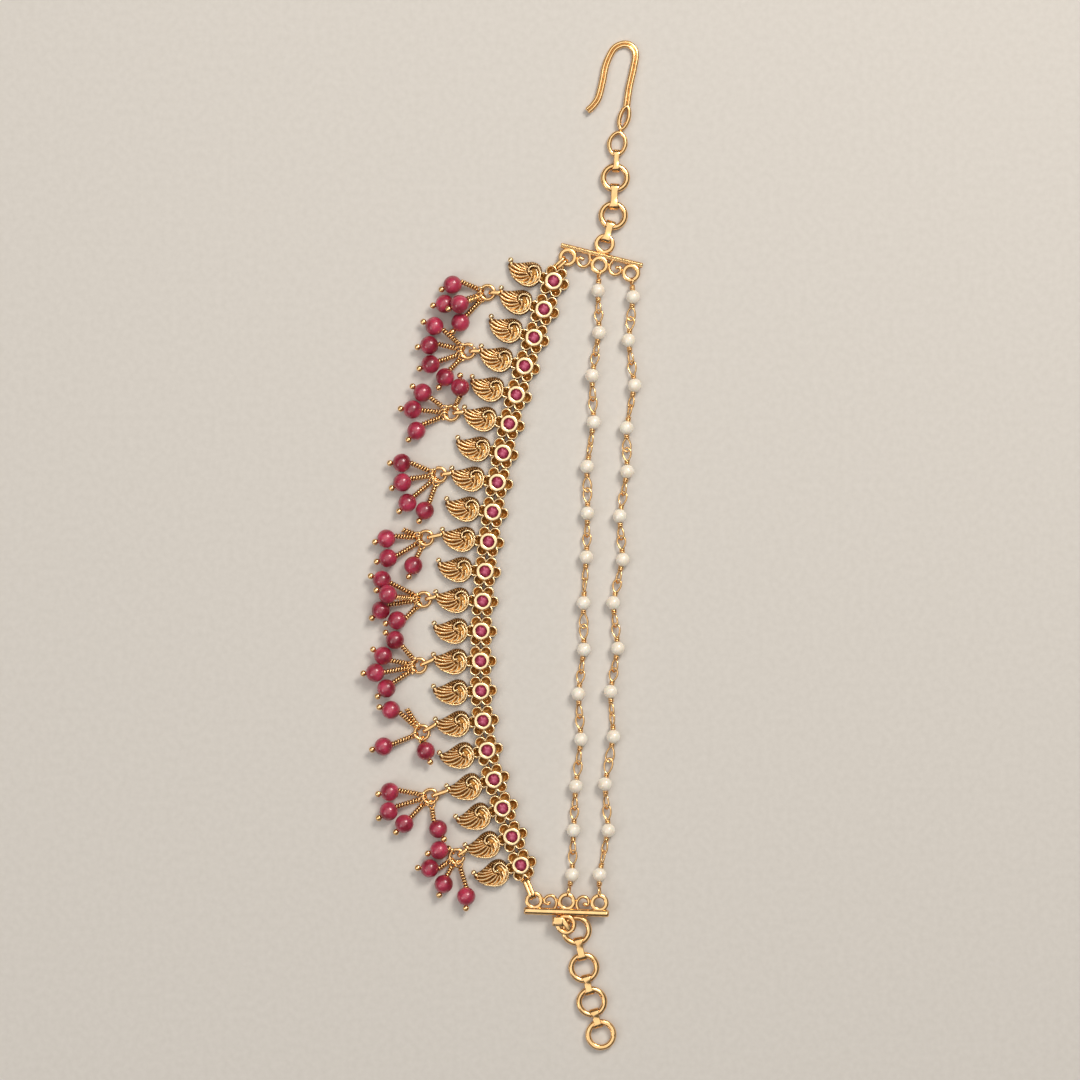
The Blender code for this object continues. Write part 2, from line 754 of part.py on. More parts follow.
def strand_ends(index):
    """Points on the wires of the two bar rings that a strand hangs between."""
    top = bar_ring_place(TOP_BAR, index + 1)
    bottom = bar_ring_place(BOTTOM_BAR, index + 1)
    way = at_level(bottom - top, 0).normalized()
    mean = (BAR_RING_DIAMETER + BAR_RING_BORE) / 4
    return top + way * mean, bottom - way * mean


def pearl_places(index):
    top = bar_ring_place(TOP_BAR, index + 1)
    bottom = bar_ring_place(BOTTOM_BAR, index + 1)
    across = at_level(bottom - top, 0).normalized().cross(-UP)
    places = []
    for share, shift in PEARL_STRANDS[index]:
        places.append(at_level(top.lerp(bottom, share) + across * shift * STRAND_SHIFT, PEARL_LEVEL))
    return places


def end_loop_radius():
    """Inner radius of a link that turns freely on a bar's ring."""
    width = (BAR_RING_DIAMETER - BAR_RING_BORE) / 2
    return math.hypot(width, BAR_RING_THICKNESS) / 2 + LINK_CLEARANCE


def end_loop(seat, towards):
    """Wire loop round a bar ring's wire, and the point where the strand leaves it."""
    way = (towards - seat).normalized()
    radius = end_loop_radius()
    far = seat + way * (STRAND_LOOP_LENGTH + radius)
    mesh = link_mesh(seat, radius, far, radius, radius, round_section(STRAND_WIRE))
    leaves = far + way * (radius + STRAND_WIRE / 2)
    return mesh, leaves


def strand_mesh(name, index, materials):
    pearls = pearl_places(index)
    top, bottom = strand_ends(index)
    first_loop, start = end_loop(top, pearls[0])
    last_loop, finish = end_loop(bottom, pearls[-1])
    knots = [start] + pearls + [finish]
    stations = [(start, knots[1] - start, STRAND_WIRE / 2, STEM_SIDES)]
    slots = [0]
    for before, pearl, after in zip(knots, pearls, knots[2:]):
        axis = (before - after).normalized()
        pearl_rings = bead_stations(
            pearl, axis, PEARL_DIAMETER, STRAND_WIRE, PEARL_LATITUDES, STRAND_WIRE, STEM_SIDES
        )
        stations += pearl_rings
        slots += [1] * (len(pearl_rings) - 1) + [0]
    stations.append((finish, finish - pearls[-1], STRAND_WIRE / 2, STEM_SIDES))
    slots.append(0)
    return fuse(name, [loft(turned(stations), slots), first_loop, last_loop], materials)


# Chains, links and hook

def round_ring(centre, diameter):
    section = round_section(RING_WIRE)
    return ring_mesh(diameter - RING_WIRE, section, RING_SIDES, Matrix.Translation(centre))


def seat_reach(wire_half, hole_length, hole_width, width):
    """How far beyond a wire's middle a flat link's inside lies, in the rounded end of a hole."""
    dip = hole_length / 2 * (1 - math.sqrt(1 - (width / hole_width) ** 2))
    return wire_half + dip + LINK_END_CLEARANCE


def ring_reach(diameter, bore, width):
    return seat_reach((diameter - bore) / 4, bore, bore, width)


def band_link(first, first_reach, last, last_reach, width=BAND_WIDTH):
    section = flat_section(BAND_THICKNESS, width)
    inner = RING_WIRE / 2 + LINK_CLEARANCE
    return link_mesh(first, first_reach, last, last_reach, inner, section)


def end_link(washer, crossbar, outward):
    """Link from a bar's first ring to the staple of a motif, which may lie askew to it."""
    section = flat_section(END_LINK_THICKNESS, END_LINK_WIDTH)
    mean = (BAR_RING_DIAMETER + BAR_RING_BORE) / 4
    way = at_level(washer - crossbar, 0).normalized()
    seat = washer - way * mean
    reach = ring_reach(BAR_RING_DIAMETER, BAR_RING_BORE, END_LINK_WIDTH)
    skew = way.cross(outward).length
    staple_reach = (STAPLE_WIRE + END_LINK_WIDTH * skew) / (2 * way.dot(outward)) + LINK_CLEARANCE
    return link_mesh(seat, reach, crossbar, staple_reach, end_loop_radius(), section)


def chain_places(start, start_radius, rows, diameter):
    """Ring centres one after another from a first ring, with the points where each pair is linked."""
    mean = (diameter - RING_WIRE) / 2
    centres = []
    joints = []
    centre = start
    radius = start_radius
    for row in rows:
        way = bearing(row["bearing"])
        joints.append((centre + way * radius, centre + way * (radius + row["gap"])))
        centre = centre + way * (radius + row["gap"] + mean)
        radius = mean
        centres.append(centre)
    return centres, joints


def hook_section():
    half = HOOK_WIDTH / 2
    lobe = HOOK_WIDTH / 3
    top = HOOK_THICKNESS / 2
    return [
        (-half, 0.0),
        (-lobe, -top),
        (lobe, -top),
        (half, 0.0),
        (lobe, top),
        (0.0, top - HOOK_GROOVE),
        (-lobe, top),
    ]


def oval_mesh(centre, length, width, direction):
    turn = Matrix.Rotation(math.radians(direction) - math.pi / 2, 4, "Z")
    mean_width = width - HOOK_EYE_WIRE
    stretch = (length - HOOK_EYE_WIRE) / mean_width
    section = round_section(HOOK_EYE_WIRE)
    return ring_mesh(mean_width, section, RING_SIDES, Matrix.Translation(centre) @ turn, stretch)


def hook_mesh(name, loop_centre, materials):
    """Hook whose shank ends in an upper eye and a lower loop."""
    reach = (HOOK_LOOP_LENGTH + HOOK_EYE_LENGTH) / 2 - SOLDER_DEPTH
    eye_centre = loop_centre + bearing(HOOK_LOOP_BEARING) * reach
    shank = eye_centre + bearing(HOOK_BEARING) * (HOOK_EYE_LENGTH / 2 - HOOK_SEAT)
    points = [Vector((x * HOOK_REACH, y * HOOK_RISE, 0)) for x, y in HOOK_ROUTE]
    body = swept(smooth_route(points, 1), hook_section(), False)
    sink = math.asin((RING_LEVEL - HOOK_THICKNESS / 2) / (HOOK_RISE + HOOK_WIDTH / 2))
    body.transform(Matrix.Translation(shank) @ Matrix.Rotation(-sink, 4, "X"))
    meshes = [
        body,
        oval_mesh(eye_centre, HOOK_EYE_LENGTH, HOOK_EYE_WIDTH, HOOK_LOOP_BEARING),
        oval_mesh(loop_centre, HOOK_LOOP_LENGTH, HOOK_LOOP_WIDTH, HOOK_LOOP_BEARING + 5),
    ]
    return fuse(name, meshes, materials)


# Building

def add_node(name, mesh, materials, collection, matrix=None):
    node = bpy.data.objects.new(name, mesh)
    collection.objects.link(node)
    if not mesh.materials:
        for material in materials:
            mesh.materials.append(material)
    if matrix is not None:
        node.matrix_world = matrix
    return node


def build_motifs(collection, materials):
    last = MOTIF_COUNT - 1
    plain = motif_mesh("motif", False, 0, materials)
    with_eye = motif_mesh("motif_with_eye", True, 0, materials)
    ends = {
        0: motif_mesh("motif_first", False, 1, materials),
        last: motif_mesh("motif_last", False, -1, materials),
    }
    for index, (place, direction) in enumerate(STRIP):
        mesh = ends.get(index, with_eye if index % 2 else plain)
        matrix = motif_matrix(at_level(place, 0), direction)
        add_node(f"motif_{index + 1:02d}", mesh, materials, collection, matrix)


def build_chains(collection, materials):
    """Hook, rings and band links above the top bar, and the end chain below the bottom bar."""
    washer_mean = (CHAIN_RING_DIAMETER + CHAIN_RING_BORE) / 4
    washer_reach = ring_reach(CHAIN_RING_DIAMETER, CHAIN_RING_BORE, BAND_WIDTH)
    start = TOP_BAR @ Vector((0, chain_ring_offset(TOP_BAR_DIAMETER), 0))
    centres, joints = chain_places(start, washer_mean, TOP_CHAIN, RING_DIAMETER)
    loop_place = joints[-1][1] + bearing(TOP_CHAIN[-1]["bearing"]) * (HOOK_LOOP_LENGTH - HOOK_EYE_WIRE) / 2
    loop_reach = seat_reach(
        HOOK_EYE_WIRE / 2,
        HOOK_LOOP_LENGTH - 2 * HOOK_EYE_WIRE,
        HOOK_LOOP_WIDTH - 2 * HOOK_EYE_WIRE,
        HOOK_BAND_WIDTH,
    )
    reach = ring_reach(RING_DIAMETER, RING_DIAMETER - 2 * RING_WIRE, BAND_WIDTH)
    rows = (
        (washer_reach, reach, BAND_WIDTH),
        (reach, reach, BAND_WIDTH),
        (reach, loop_reach, HOOK_BAND_WIDTH),
    )
    for index, ((low, high), (low_reach, high_reach, width)) in enumerate(zip(joints, rows)):
        link = band_link(low, low_reach, high, high_reach, width)
        add_node(f"top_band_link_{index + 1}", link, materials, collection)
    for index, centre in enumerate(centres[:-1]):
        add_node(f"top_ring_{index + 1}", round_ring(centre, RING_DIAMETER), materials, collection)
    add_node("ear_hook", hook_mesh("ear_hook", loop_place, materials), materials, collection)

    start = BOTTOM_BAR @ Vector((0, -chain_ring_offset(BOTTOM_BAR_DIAMETER), 0))
    way = bearing(END_CHAIN_START_BEARING)
    under = at_level(start - way * END_CHAIN_START_SHIFT, RING_LEVEL)
    mean = (END_RING_DIAMETER - RING_WIRE) / 2
    first = under + way * mean
    centres, joints = chain_places(first, mean, END_CHAIN, END_RING_DIAMETER)
    reach = ring_reach(END_RING_DIAMETER, END_RING_DIAMETER - 2 * RING_WIRE, BAND_WIDTH)
    washer_reach = (CHAIN_RING_DIAMETER - CHAIN_RING_BORE) / 4 + LINK_CLEARANCE
    bridge_reach = RING_WIRE / 2 + LINK_CLEARANCE
    bridge = band_link(start - way * washer_mean, washer_reach, under, bridge_reach, BRIDGE_WIDTH)
    add_node("end_band_link_1", bridge, materials, collection)
    for index, (low, high) in enumerate(joints):
        add_node(f"end_band_link_{index + 2}", band_link(low, reach, high, reach), materials, collection)
    for index, centre in enumerate([first] + centres):
        add_node(f"end_ring_{index + 1}", round_ring(centre, END_RING_DIAMETER), materials, collection)


def build_bars(collection, materials):
    rows = (
        ("spacer_bar_top", TOP_BAR_DIAMETER, 1, TOP_BAR),
        ("spacer_bar_bottom", BOTTOM_BAR_DIAMETER, -1, BOTTOM_BAR),
    )
    for name, diameter, side, frame in rows:
        add_node(name, bar_mesh(name, diameter, side, materials), materials, collection, frame)
    ends = (("strip_link_top", TOP_BAR, STRIP[0], 1), ("strip_link_bottom", BOTTOM_BAR, STRIP[-1], -1))
    for name, frame, (place, direction), side in ends:
        crossbar = motif_matrix(at_level(place, 0), direction) @ staple_place(side)
        link = end_link(bar_ring_place(frame, 0), crossbar, -side * direction)
        add_node(name, link, materials, collection)


def build_clusters(collection, materials):
    for index, (ring, beads) in enumerate(bead_places()):
        name = f"bead_cluster_{index + 1:02d}"
        add_node(name, cluster_mesh(name, ring, beads, materials), materials, collection)


def build_strands(collection, materials):
    for index, name in enumerate(("pearl_strand_inner", "pearl_strand_outer")):
        add_node(name, strand_mesh(name, index, materials), materials, collection)


def centre_on_origin(collection):
    """Moves the whole chain so that its box stands on the floor with its middle at the origin."""
    bpy.context.view_layer.update()
    corners = [node.matrix_world @ vertex.co for node in collection.objects for vertex in node.data.vertices]
    low = Vector([min(corner[axis] for corner in corners) for axis in range(3)])
    high = Vector([max(corner[axis] for corner in corners) for axis in range(3)])
    shift = Vector((-(low.x + high.x) / 2, -(low.y + high.y) / 2, -low.z))
    for node in collection.objects:
        node.matrix_world = Matrix.Translation(shift) @ node.matrix_world


def shade(collection):
    for mesh in {node.data for node in collection.objects}:
        mesh.shade_smooth()
        mesh.set_sharp_from_angle(angle=math.radians(40))


def main():
    for old in list(bpy.data.objects):
        bpy.data.objects.remove(old, do_unlink=True)
    collection = bpy.data.collections.new("ear_chain")
    bpy.context.scene.collection.children.link(collection)
    polished = metal("polished_gold", (0.83, 0.55, 0.2), 0.18)
    antique = metal("antique_gold", (0.72, 0.45, 0.16), 0.35)
    ruby = principled("ruby_bead", (0.42, 0.015, 0.07), 0.12, 0.0)
    stone = principled("ruby_stone", (0.6, 0.05, 0.2), 0.08, 0.0)
    pearl = principled("pearl", (0.86, 0.78, 0.68), 0.25, 0.0)
    build_chains(collection, [polished])
    build_bars(collection, [polished])
    build_motifs(collection, [antique, stone])
    build_clusters(collection, [polished, ruby])
    build_strands(collection, [polished, pearl])
    centre_on_origin(collection)
    shade(collection)


main()
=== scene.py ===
"""Looks of the gold ear chain: chased motifs, ruby drops, pearl strands, bars, rings and hook.

Sizes are in millimetres unless a name says otherwise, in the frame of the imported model.
"""

import math

import bpy
import numpy as np
from mathutils import Matrix, Vector


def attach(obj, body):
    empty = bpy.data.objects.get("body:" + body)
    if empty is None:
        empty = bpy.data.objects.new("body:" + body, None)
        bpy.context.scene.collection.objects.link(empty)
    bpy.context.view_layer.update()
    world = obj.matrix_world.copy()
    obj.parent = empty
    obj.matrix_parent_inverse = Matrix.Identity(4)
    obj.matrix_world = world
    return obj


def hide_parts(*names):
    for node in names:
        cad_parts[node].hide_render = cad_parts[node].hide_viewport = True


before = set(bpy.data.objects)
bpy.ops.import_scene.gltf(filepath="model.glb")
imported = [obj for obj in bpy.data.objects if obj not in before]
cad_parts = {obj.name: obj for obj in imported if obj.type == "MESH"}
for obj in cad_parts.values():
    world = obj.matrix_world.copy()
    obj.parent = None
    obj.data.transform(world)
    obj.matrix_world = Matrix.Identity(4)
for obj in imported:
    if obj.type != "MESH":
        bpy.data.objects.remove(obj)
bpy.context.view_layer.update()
METRE = 1000.0

# Places and sizes in millimetres, turns in degrees, shares of the named length
MOTIF_COUNT = 21
MOTIF_PITCH = 5.3276
STRIP_LENGTH = MOTIF_PITCH * (MOTIF_COUNT - 1)
STRIP_ROUTE = [
    (0.0, 0.0), (-0.0603, -0.1834), (-0.1005, -0.3777), (-0.1206, -0.5795), (-0.1122, -0.7771),
    (-0.0544, -0.9761),
]
TOP_BAR_PLACE = (17.43, 49.79)
TOP_BAR_TURN = -14.0
TOP_BAR_DIAMETER = 0.86
BOTTOM_BAR_TURN = -2.0
BOTTOM_BAR_DIAMETER = 1.06
BAR_LENGTH = 15.0
BAR_RING_PITCH = 5.8
BAR_RING_DIAMETER = 3.1
BAR_RING_BORE = 1.7
CHAIN_RING_DIAMETER = 3.64
CHAIN_RING_BORE = 2.04
TOP_LEVEL = 0.95
BOTTOM_LEVEL = 1.86
TOP_LINK = (-120.6, 5.0)
BOTTOM_LINK = (-69.4, 6.7)
EYE_SLOT = (-9.445, 0.25, 0.76)
JUMP_RING_RADIUS = 1.25
JUMP_RING_WIRE = 0.64
BEAD_DIAMETER = 3.3
BEAD_GAP = 0.06
BEAD_LOWERED = 0.09
PEARL_DIAMETER = 2.5
PIN_WIRE = 0.34
COIL_RADIUS = 0.34
COIL_WIRE = 0.37
COIL_PITCH = 0.52
RING_DIAMETER = 5.1
END_RING_DIAMETER = 5.6
RING_WIRE = 0.9
VISIBLE_RING_WIRE = 1.04
TOP_RING_EXTRA = 0.16
END_RING_EXTRA = -0.03
LAST_RING_GROOVE = 0.16
BAND_WIDTH = 1.43
BAND_THICKNESS = 0.28
LINK_CLEARANCE = 0.16
LINK_END_CLEARANCE = 0.24
TOP_CHAIN = [(73.3, 1.8), (86.8, 2.5), (86.5, 1.9)]
END_CHAIN = [(-78.3, 2.1), (-77.3, 1.56), (-74.5, 1.38)]
END_CHAIN_START = -31.0
STAPLE_SEAT = (0.0, 3.009, 0.95)
STAPLE_WIRE = 0.24
STAPLE_VISIBLE_WIRE = 0.28
STAPLE_ROOT = 2.0
STAPLE_HALF_WIDTH = 0.83
STAPLE_CORNER = 0.25
HINGE_RADIUS = 0.42
HINGE_STRETCH = 1.75
HINGE_WIRE = 0.26
HINGE_END_PLACE = 0.78
HINGE_END_RADIUS = 0.3
HINGE_END_WIRE = 0.24
HOOK_REACH = 6.8
HOOK_RISE = 11.1
HOOK_BEARING = 78.6
HOOK_SLOPE = -2.54
HOOK_EYE = (5.0, 2.4)
HOOK_LOOP = (4.95, 3.7)
HOOK_EYE_WIRE = 0.75
HOOK_EYE_WIRE_EXTRA = 0.08
HOOK_LOOP_BEARING = 75.3
HOOK_ROUTE = [
    (-1.0, -0.07), (-0.88, 0.0), (-0.74, 0.13), (-0.63, 0.39), (-0.56, 0.62), (-0.45, 0.8), (-0.3, 0.94),
    (-0.05, 1.0), (0.145, 0.95), (0.235, 0.82), (0.17, 0.57), (0.07, 0.295), (0.0, 0.0),
]
CLUSTERS = [
    {"swing": 32, "beads": [(-6.2, 1.3, 203), (-7.6, -2.1, 188), (-4.8, -5.4, 230), (-4.9, -2.3, 203)]},
    {"swing": 32, "beads": [(-5.9, 4.4, 159), (-6.8, 1.0, 189), (-6.6, -2.4, 201), (-4.0, -4.7, 238)]},
    {"swing": 32, "beads": [(1.6, 4.5, 90), (-5.1, 3.6, 148), (-6.9, 0.6, 176), (-6.2, -3.2, 228)]},
    {"swing": 32, "beads": [(-6.6, 2.1, 181), (-6.5, -1.4, 208), (-5.6, -5.0, 226), (-2.5, -6.4, 241)]},
    {"swing": 30, "beads": [(-7.7, -0.4, 197), (-7.4, -3.9, 197), (-2.9, -5.2, 248)]},
    {"swing": 30, "beads": [(-7.4, 3.5, 161), (-7.6, -1.9, 221), (-4.7, -3.7, 195), (-6.3, 1.0, 161)]},
    {"swing": 26, "beads": [(-4.7, 4.0, 142), (-6.8, 1.2, 148), (-8.2, -1.8, 183), (-6.2, -4.6, 222)]},
    {"swing": 32, "beads": [(-6.0, 3.4, 166), (-7.3, -3.1, 195), (0.2, -3.9, 292)]},
    {"swing": 29, "beads": [(-8.5, 1.0, 191), (-8.7, -2.5, 214), (-5.9, -4.7, 225), (0.1, -5.6, 300)]},
    {"swing": 32, "beads": [(-3.1, 1.2, 196), (-4.8, -2.0, 178), (-2.3, -4.8, 248), (1.7, -7.0, 269)]},
]
RING_SHIFTS = {4: (-0.7, -0.3), 6: (-0.45, -0.6), 7: (-0.5, -0.65), 8: (-1.3, 0.1)}
TAIL_ROOT = (-8.3, 0.25, 0.77)
STUBS = {4: (-4.1, 1.5, 0.3), 7: (-2.7, 4.2, 0.2)}
TAIL_EYE_RISE = 0.56
TAIL_EYE_PAST_WIRE = 0.9
TAIL_EYE_SECTION = (0.2, 0.38)
PIN_EYE_RADIUS = 0.64
PIN_EYE_WIRE = 0.38
PIN_EYE_PAST_WIRE = 0.16
PIN_HEAD_RADIUS = 0.56
PIN_HEAD_PAST_BEAD = 0.46
DIMPLE_DEPTH = 0.1
DIMPLE_ANGLE = 0.09
PEARL_STRANDS = {
    "inner": [
        (0.04, 0.0), (0.106, 0.55), (0.174, -0.3), (0.247, 0.4), (0.317, -0.35), (0.39, 0.17),
        (0.459, 0.35), (0.531, 0.25), (0.604, 0.75), (0.674, 0.17), (0.745, 1.05), (0.819, 0.55),
        (0.888, 0.56), (0.958, 0.7),
    ],
    "outer": [
        (0.038, 0.6), (0.107, 0.16), (0.178, 1.65), (0.246, 0.6), (0.315, 1.1), (0.386, 0.17),
        (0.455, 1.1), (0.524, -0.22), (0.596, 1.03), (0.665, 0.1), (0.736, 1.04), (0.812, -0.04),
        (0.885, 0.96), (0.956, -0.22),
    ],
}
STRAND_EYE = [(0.0, 0.08), (0.18, 0.46), (0.52, 0.71), (0.83, 0.58), (1.0, 0.0)]
STRAND_EYE_TILTS = (8, 12, 18, 5, 62, 10, 15, 70, 6, 20)
STRAND_END_TILT = 75
STRAND_EYE_SKEW = 68
STRAND_JOINT_LEVEL = 0.9
STRAND_JOINT_OVERLAP = 0.34
STRAND_WIRE = 0.35
STRAND_STEM = 0.3
WRAP_TURNS = 2.0
WRAP_RADIUS = 0.34
WRAP_WIRE = 0.34
WRAP_LENGTH = 0.72
WRAP_RUN = 0.66
WRAP_CORE_RADIUS = 0.33
# Slot of the antique gold, used to paint shade on the stems under coiled and wrapped wire
PAINTED_SHADE_SLOT = 1
RING_OVERLAP = 0.18
WASHER_THICKNESS = 0.66
BAR_WASHER_EXTRA = 0.24
CHAIN_WASHER_EXTRA = 0.1
RIB_COUNT = 8
RIB_TURNS = 6.5
SCROLL_HEIGHT = 2.4
SCROLL_WIRE = 0.64
SCROLL_ROUTE = [
    (0.22, -0.1), (0.02, 0.3), (0.04, 0.66), (0.34, 0.96), (0.72, 0.94), (0.97, 0.68), (0.88, 0.4),
    (0.62, 0.44),
]
BAND_DIP = 0.11
BAND_EDGE = 0.05
BAND_WAIST = 0.84
BAND_FLARE = 0.32
BRIDGE_WIDTH = 1.0
CUFF_PLACE = (-1.34, 0.64, 0.0)
CUFF_PROFILE = [
    (-0.98, 1.4), (-0.98, 2.5), (-0.9, 2.78), (-0.66, 2.92), (0.6, 2.92), (0.84, 2.78), (0.95, 2.3),
]
CUFF_EDGE = [(-0.12, -0.74), (-0.08, -0.78), (0.06, -0.78), (0.12, -0.7)]
TONGUE_ROUTE = [(-0.8, 1.07, 2.72), (0.0, 0.1, 2.78), (0.62, -0.8, 2.66)]
HOOK_LINK_WIDTH = 1.12
SOLID_HOOK_LINK_WIDTH = 1.0
HOOK_WIRE = 0.72
HOOK_WIRES_APART = 0.58
STRIP_LINK_WIDTH = 0.7
STRIP_LINK_WIRES_APART = 0.62

# The photograph's framing
PHOTO_WIDTH_PX = 1080
PX_PER_MM = 5.6
VIEW_CENTRE_PX = (540, 540)
OBJECT_CENTRE_PX = (501.5, 545)
CAMERA_LENS_MM = 100
CAMERA_SENSOR_MM = 36

# Square lights that face the middle of the floor: place and side in metres, watts, colour
LIGHTS = [
    ("overhead", (-0.12, 0.12, 0.95), 1.25, 5.5, (1.0, 0.97, 0.93)),
    ("key", (0.3, 0.42, 0.6), 0.26, 3.6, (1.0, 0.96, 0.9)),
    ("fill", (-0.55, -0.3, 0.5), 0.3, 0.9, (1.0, 0.98, 0.95)),
]

Z = np.array((0.0, 0.0, 1.0))


def vec(x, y, z=0.0):
    return np.array((x, y, z), float)


def unit(v):
    return v / np.linalg.norm(v)


def level_way(start, end):
    """Direction in the plan from one place to another."""
    return unit(vec(*(end - start)[:2]))


def directions_across(way):
    """Two directions square to a way, the first of them level."""
    side = unit(np.cross(way, Z))
    return side, np.cross(side, way)


def bearing(degrees):
    angle = math.radians(degrees)
    return vec(math.cos(angle), math.sin(angle))


def turn_z(degrees, place=(0, 0, 0)):
    return Matrix.Translation(Vector(place)) @ Matrix.Rotation(math.radians(degrees), 4, "Z")


# Shapes


class Shape:
    """Faces gathered from several closed forms, each with its own material slot and a painted shading value
    at each point.
    """

    def __init__(self):
        self.points = []
        self.faces = []
        self.slots = []
        self.values = []

    def add(self, points, faces, slot=0, value=0.0):
        first = len(self.points)
        self.points.extend(map(tuple, points))
        self.values.extend(np.broadcast_to(value, len(points)))
        for face in faces:
            self.faces.append([first + index for index in face])
            self.slots.append(slot)

    def sweep(
        self, path, section, closed=False, normal=None, slot=0, turns=0.0, scale=None, wide=None, value=0.0
    ):
        """Carries a section of (side, up) points along a path; a normal fixes which way is up."""
        path = np.asarray(path, float)
        section = np.asarray(section, float)
        count = len(path)
        if closed:
            tangents = np.roll(path, -1, 0) - np.roll(path, 1, 0)
        else:
            tangents = np.gradient(path, axis=0)
        tangents /= np.linalg.norm(tangents, axis=1)[:, None]
        up = Z if normal is None else normal
        if abs(up @ tangents[0]) > 0.95:
            up = vec(1, 0)
        points = []
        for index, (place, tangent) in enumerate(zip(path, tangents)):
            up = up if normal is None else normal
            side = unit(np.cross(tangent, up))
            up = np.cross(side, tangent)
            angle = turns * 2 * math.pi * index / count
            a = side * math.cos(angle) + up * math.sin(angle)
            b = up * math.cos(angle) - side * math.sin(angle)
            size = 1.0 if scale is None else scale[index]
            width = 1.0 if wide is None else wide[index]
            points.append(place + size * (section[:, :1] * a + width * section[:, 1:] * b))
        around = len(section)
        faces = []
        for row in range(count if closed else count - 1):
            nxt = (row + 1) % count
            for k in range(around):
                m = (k + 1) % around
                faces.append([row * around + k, nxt * around + k, nxt * around + m, row * around + m])
        if not closed:
            faces.append(list(range(around)))
            faces.append([(count - 1) * around + k for k in reversed(range(around))])
        self.add(np.concatenate(points), faces, slot, value)

    def tube(self, path, radius, sides=8, **options):
        radii = np.broadcast_to(np.asarray(radius, float), len(path))
        self.sweep(path, circle(1.0, sides), scale=radii, **options)

    def ball(self, centre, radius, around=16, rows=10, axis=None, squash=1.0, value=0.0):
        axis = Z if axis is None else unit(np.asarray(axis, float))
        side = unit(np.cross(axis, vec(1, 0) if abs(axis[0]) < 0.9 else vec(0, 1)))
        other = np.cross(axis, side)
        points = [centre + axis * radius * squash]
        for row in range(1, rows):
            tilt = math.pi * row / rows
            for k in range(around):
                angle = 2 * math.pi * k / around
                out = math.cos(angle) * side + math.sin(angle) * other
                points.append(centre + radius * (math.sin(tilt) * out + squash * math.cos(tilt) * axis))
        points.append(centre - axis * radius * squash)
        faces = [[0, 1 + k, 1 + (k + 1) % around] for k in range(around)]
        for row in range(rows - 2):
            base = 1 + row * around
            for k in range(around):
                m = (k + 1) % around
                faces.append([base + k, base + around + k, base + around + m, base + m])
        base = 1 + (rows - 2) * around
        faces += [[len(points) - 1, base + (k + 1) % around, base + k] for k in range(around)]
        self.add(points, faces, value=value)

    def rings(self, levels, value=0.0):
        """Faces between rings that have the same number of points, and over the first and the last."""
        around = len(levels[0])
        faces = []
        for row in range(len(levels) - 1):
            for k in range(around):
                m = (k + 1) % around
                above = (row + 1) * around
                faces.append([row * around + k, row * around + m, above + m, above + k])
        faces.append(list(reversed(range(around))))
        faces.append([(len(levels) - 1) * around + k for k in range(around)])
        self.add(np.concatenate(levels), faces, value=value)

    def mesh(self, name, materials, flat=()):
        mesh = bpy.data.meshes.new(name)
        mesh.from_pydata([tuple(c / METRE for c in point) for point in self.points], [], self.faces)
        for material in materials:
            mesh.materials.append(material)
        mesh.polygons.foreach_set("material_index", self.slots)
        smooth = [slot not in flat for slot in self.slots]
        mesh.polygons.foreach_set("use_smooth", smooth)
        # Each point's value is its painted shading: painted shade in hollows and gaps, painted highlight
        # where negative
        attribute = mesh.attributes.new("painted_shading", "FLOAT", "POINT")
        attribute.data.foreach_set("value", np.asarray(self.values, np.float32))
        mesh.update()
        mesh.validate()
        return mesh


def circle(radius, sides, start=0.0):
    angles = start + np.arange(sides) * 2 * math.pi / sides
    return np.stack([radius * np.cos(angles), radius * np.sin(angles)], 1)


def ring_path(centre, radius, steps=32, stretch=1.0, across=None, up=None):
    """Closed circle or oval; across and up are its own two directions."""
    across = vec(1, 0) if across is None else across
    up = vec(0, 1) if up is None else up
    path = []
    for x, y in circle(radius, steps):
        path.append(np.asarray(centre, float) + across * x + up * y * stretch)
    return np.array(path)


def arc_path(centre, radius, angles):
    """Level arc or circle through the given angles, in radians."""
    return np.stack([np.cos(angles), np.sin(angles), np.zeros(len(angles))], 1) * radius + centre


def smooth_path(points, steps=8, closed=False):
    """Points of a smooth curve through the given points."""
    points = [np.asarray(point, float) for point in points]
    if closed:
        ends = [points[-1]] + points + points[:2]
    else:
        ends = [2 * points[0] - points[1]] + points + [2 * points[-1] - points[-2]]
    route = []
    for a, b, c, d in zip(ends, ends[1:], ends[2:], ends[3:]):
        for t in np.arange(steps) / steps:
            place = 2 * b + (c - a) * t
            place += (2 * a - 5 * b + 4 * c - d) * t**2
            place += (3 * b - a - 3 * c + d) * t**3
            route.append(0.5 * place)
    if not closed:
        route.append(points[-1])
    return np.array(route)


def evenly(path, count, closed=False):
    """The same path with evenly spaced points."""
    path = np.asarray(path, float)
    if closed:
        path = np.concatenate([path, path[:1]])
    lengths = np.concatenate([[0], np.cumsum(np.linalg.norm(np.diff(path, axis=0), axis=1))])
    targets = np.linspace(0, lengths[-1], count, endpoint=not closed)
    return np.stack([np.interp(targets, lengths, path[:, k]) for k in range(path.shape[1])], 1)


def distance_to(points, line):
    """Distance in the plan from each point to a polyline, and the share along it."""
    best = np.full(len(points), 1e9)
    share = np.zeros(len(points))
    count = len(line) - 1
    for index in range(count):
        a, b = line[index][:2], line[index + 1][:2]
        along = np.clip(((points - a) @ (b - a)) / ((b - a) @ (b - a)), 0, 1)
        gap = np.linalg.norm(points - a - along[:, None] * (b - a), axis=1)
        share = np.where(gap < best, (index + along) / count, share)
        best = np.minimum(best, gap)
    return best, share


def step(value, low, high):
    t = np.clip((value - low) / (high - low), 0, 1)
    return t * t * (3 - 2 * t)


# Layout


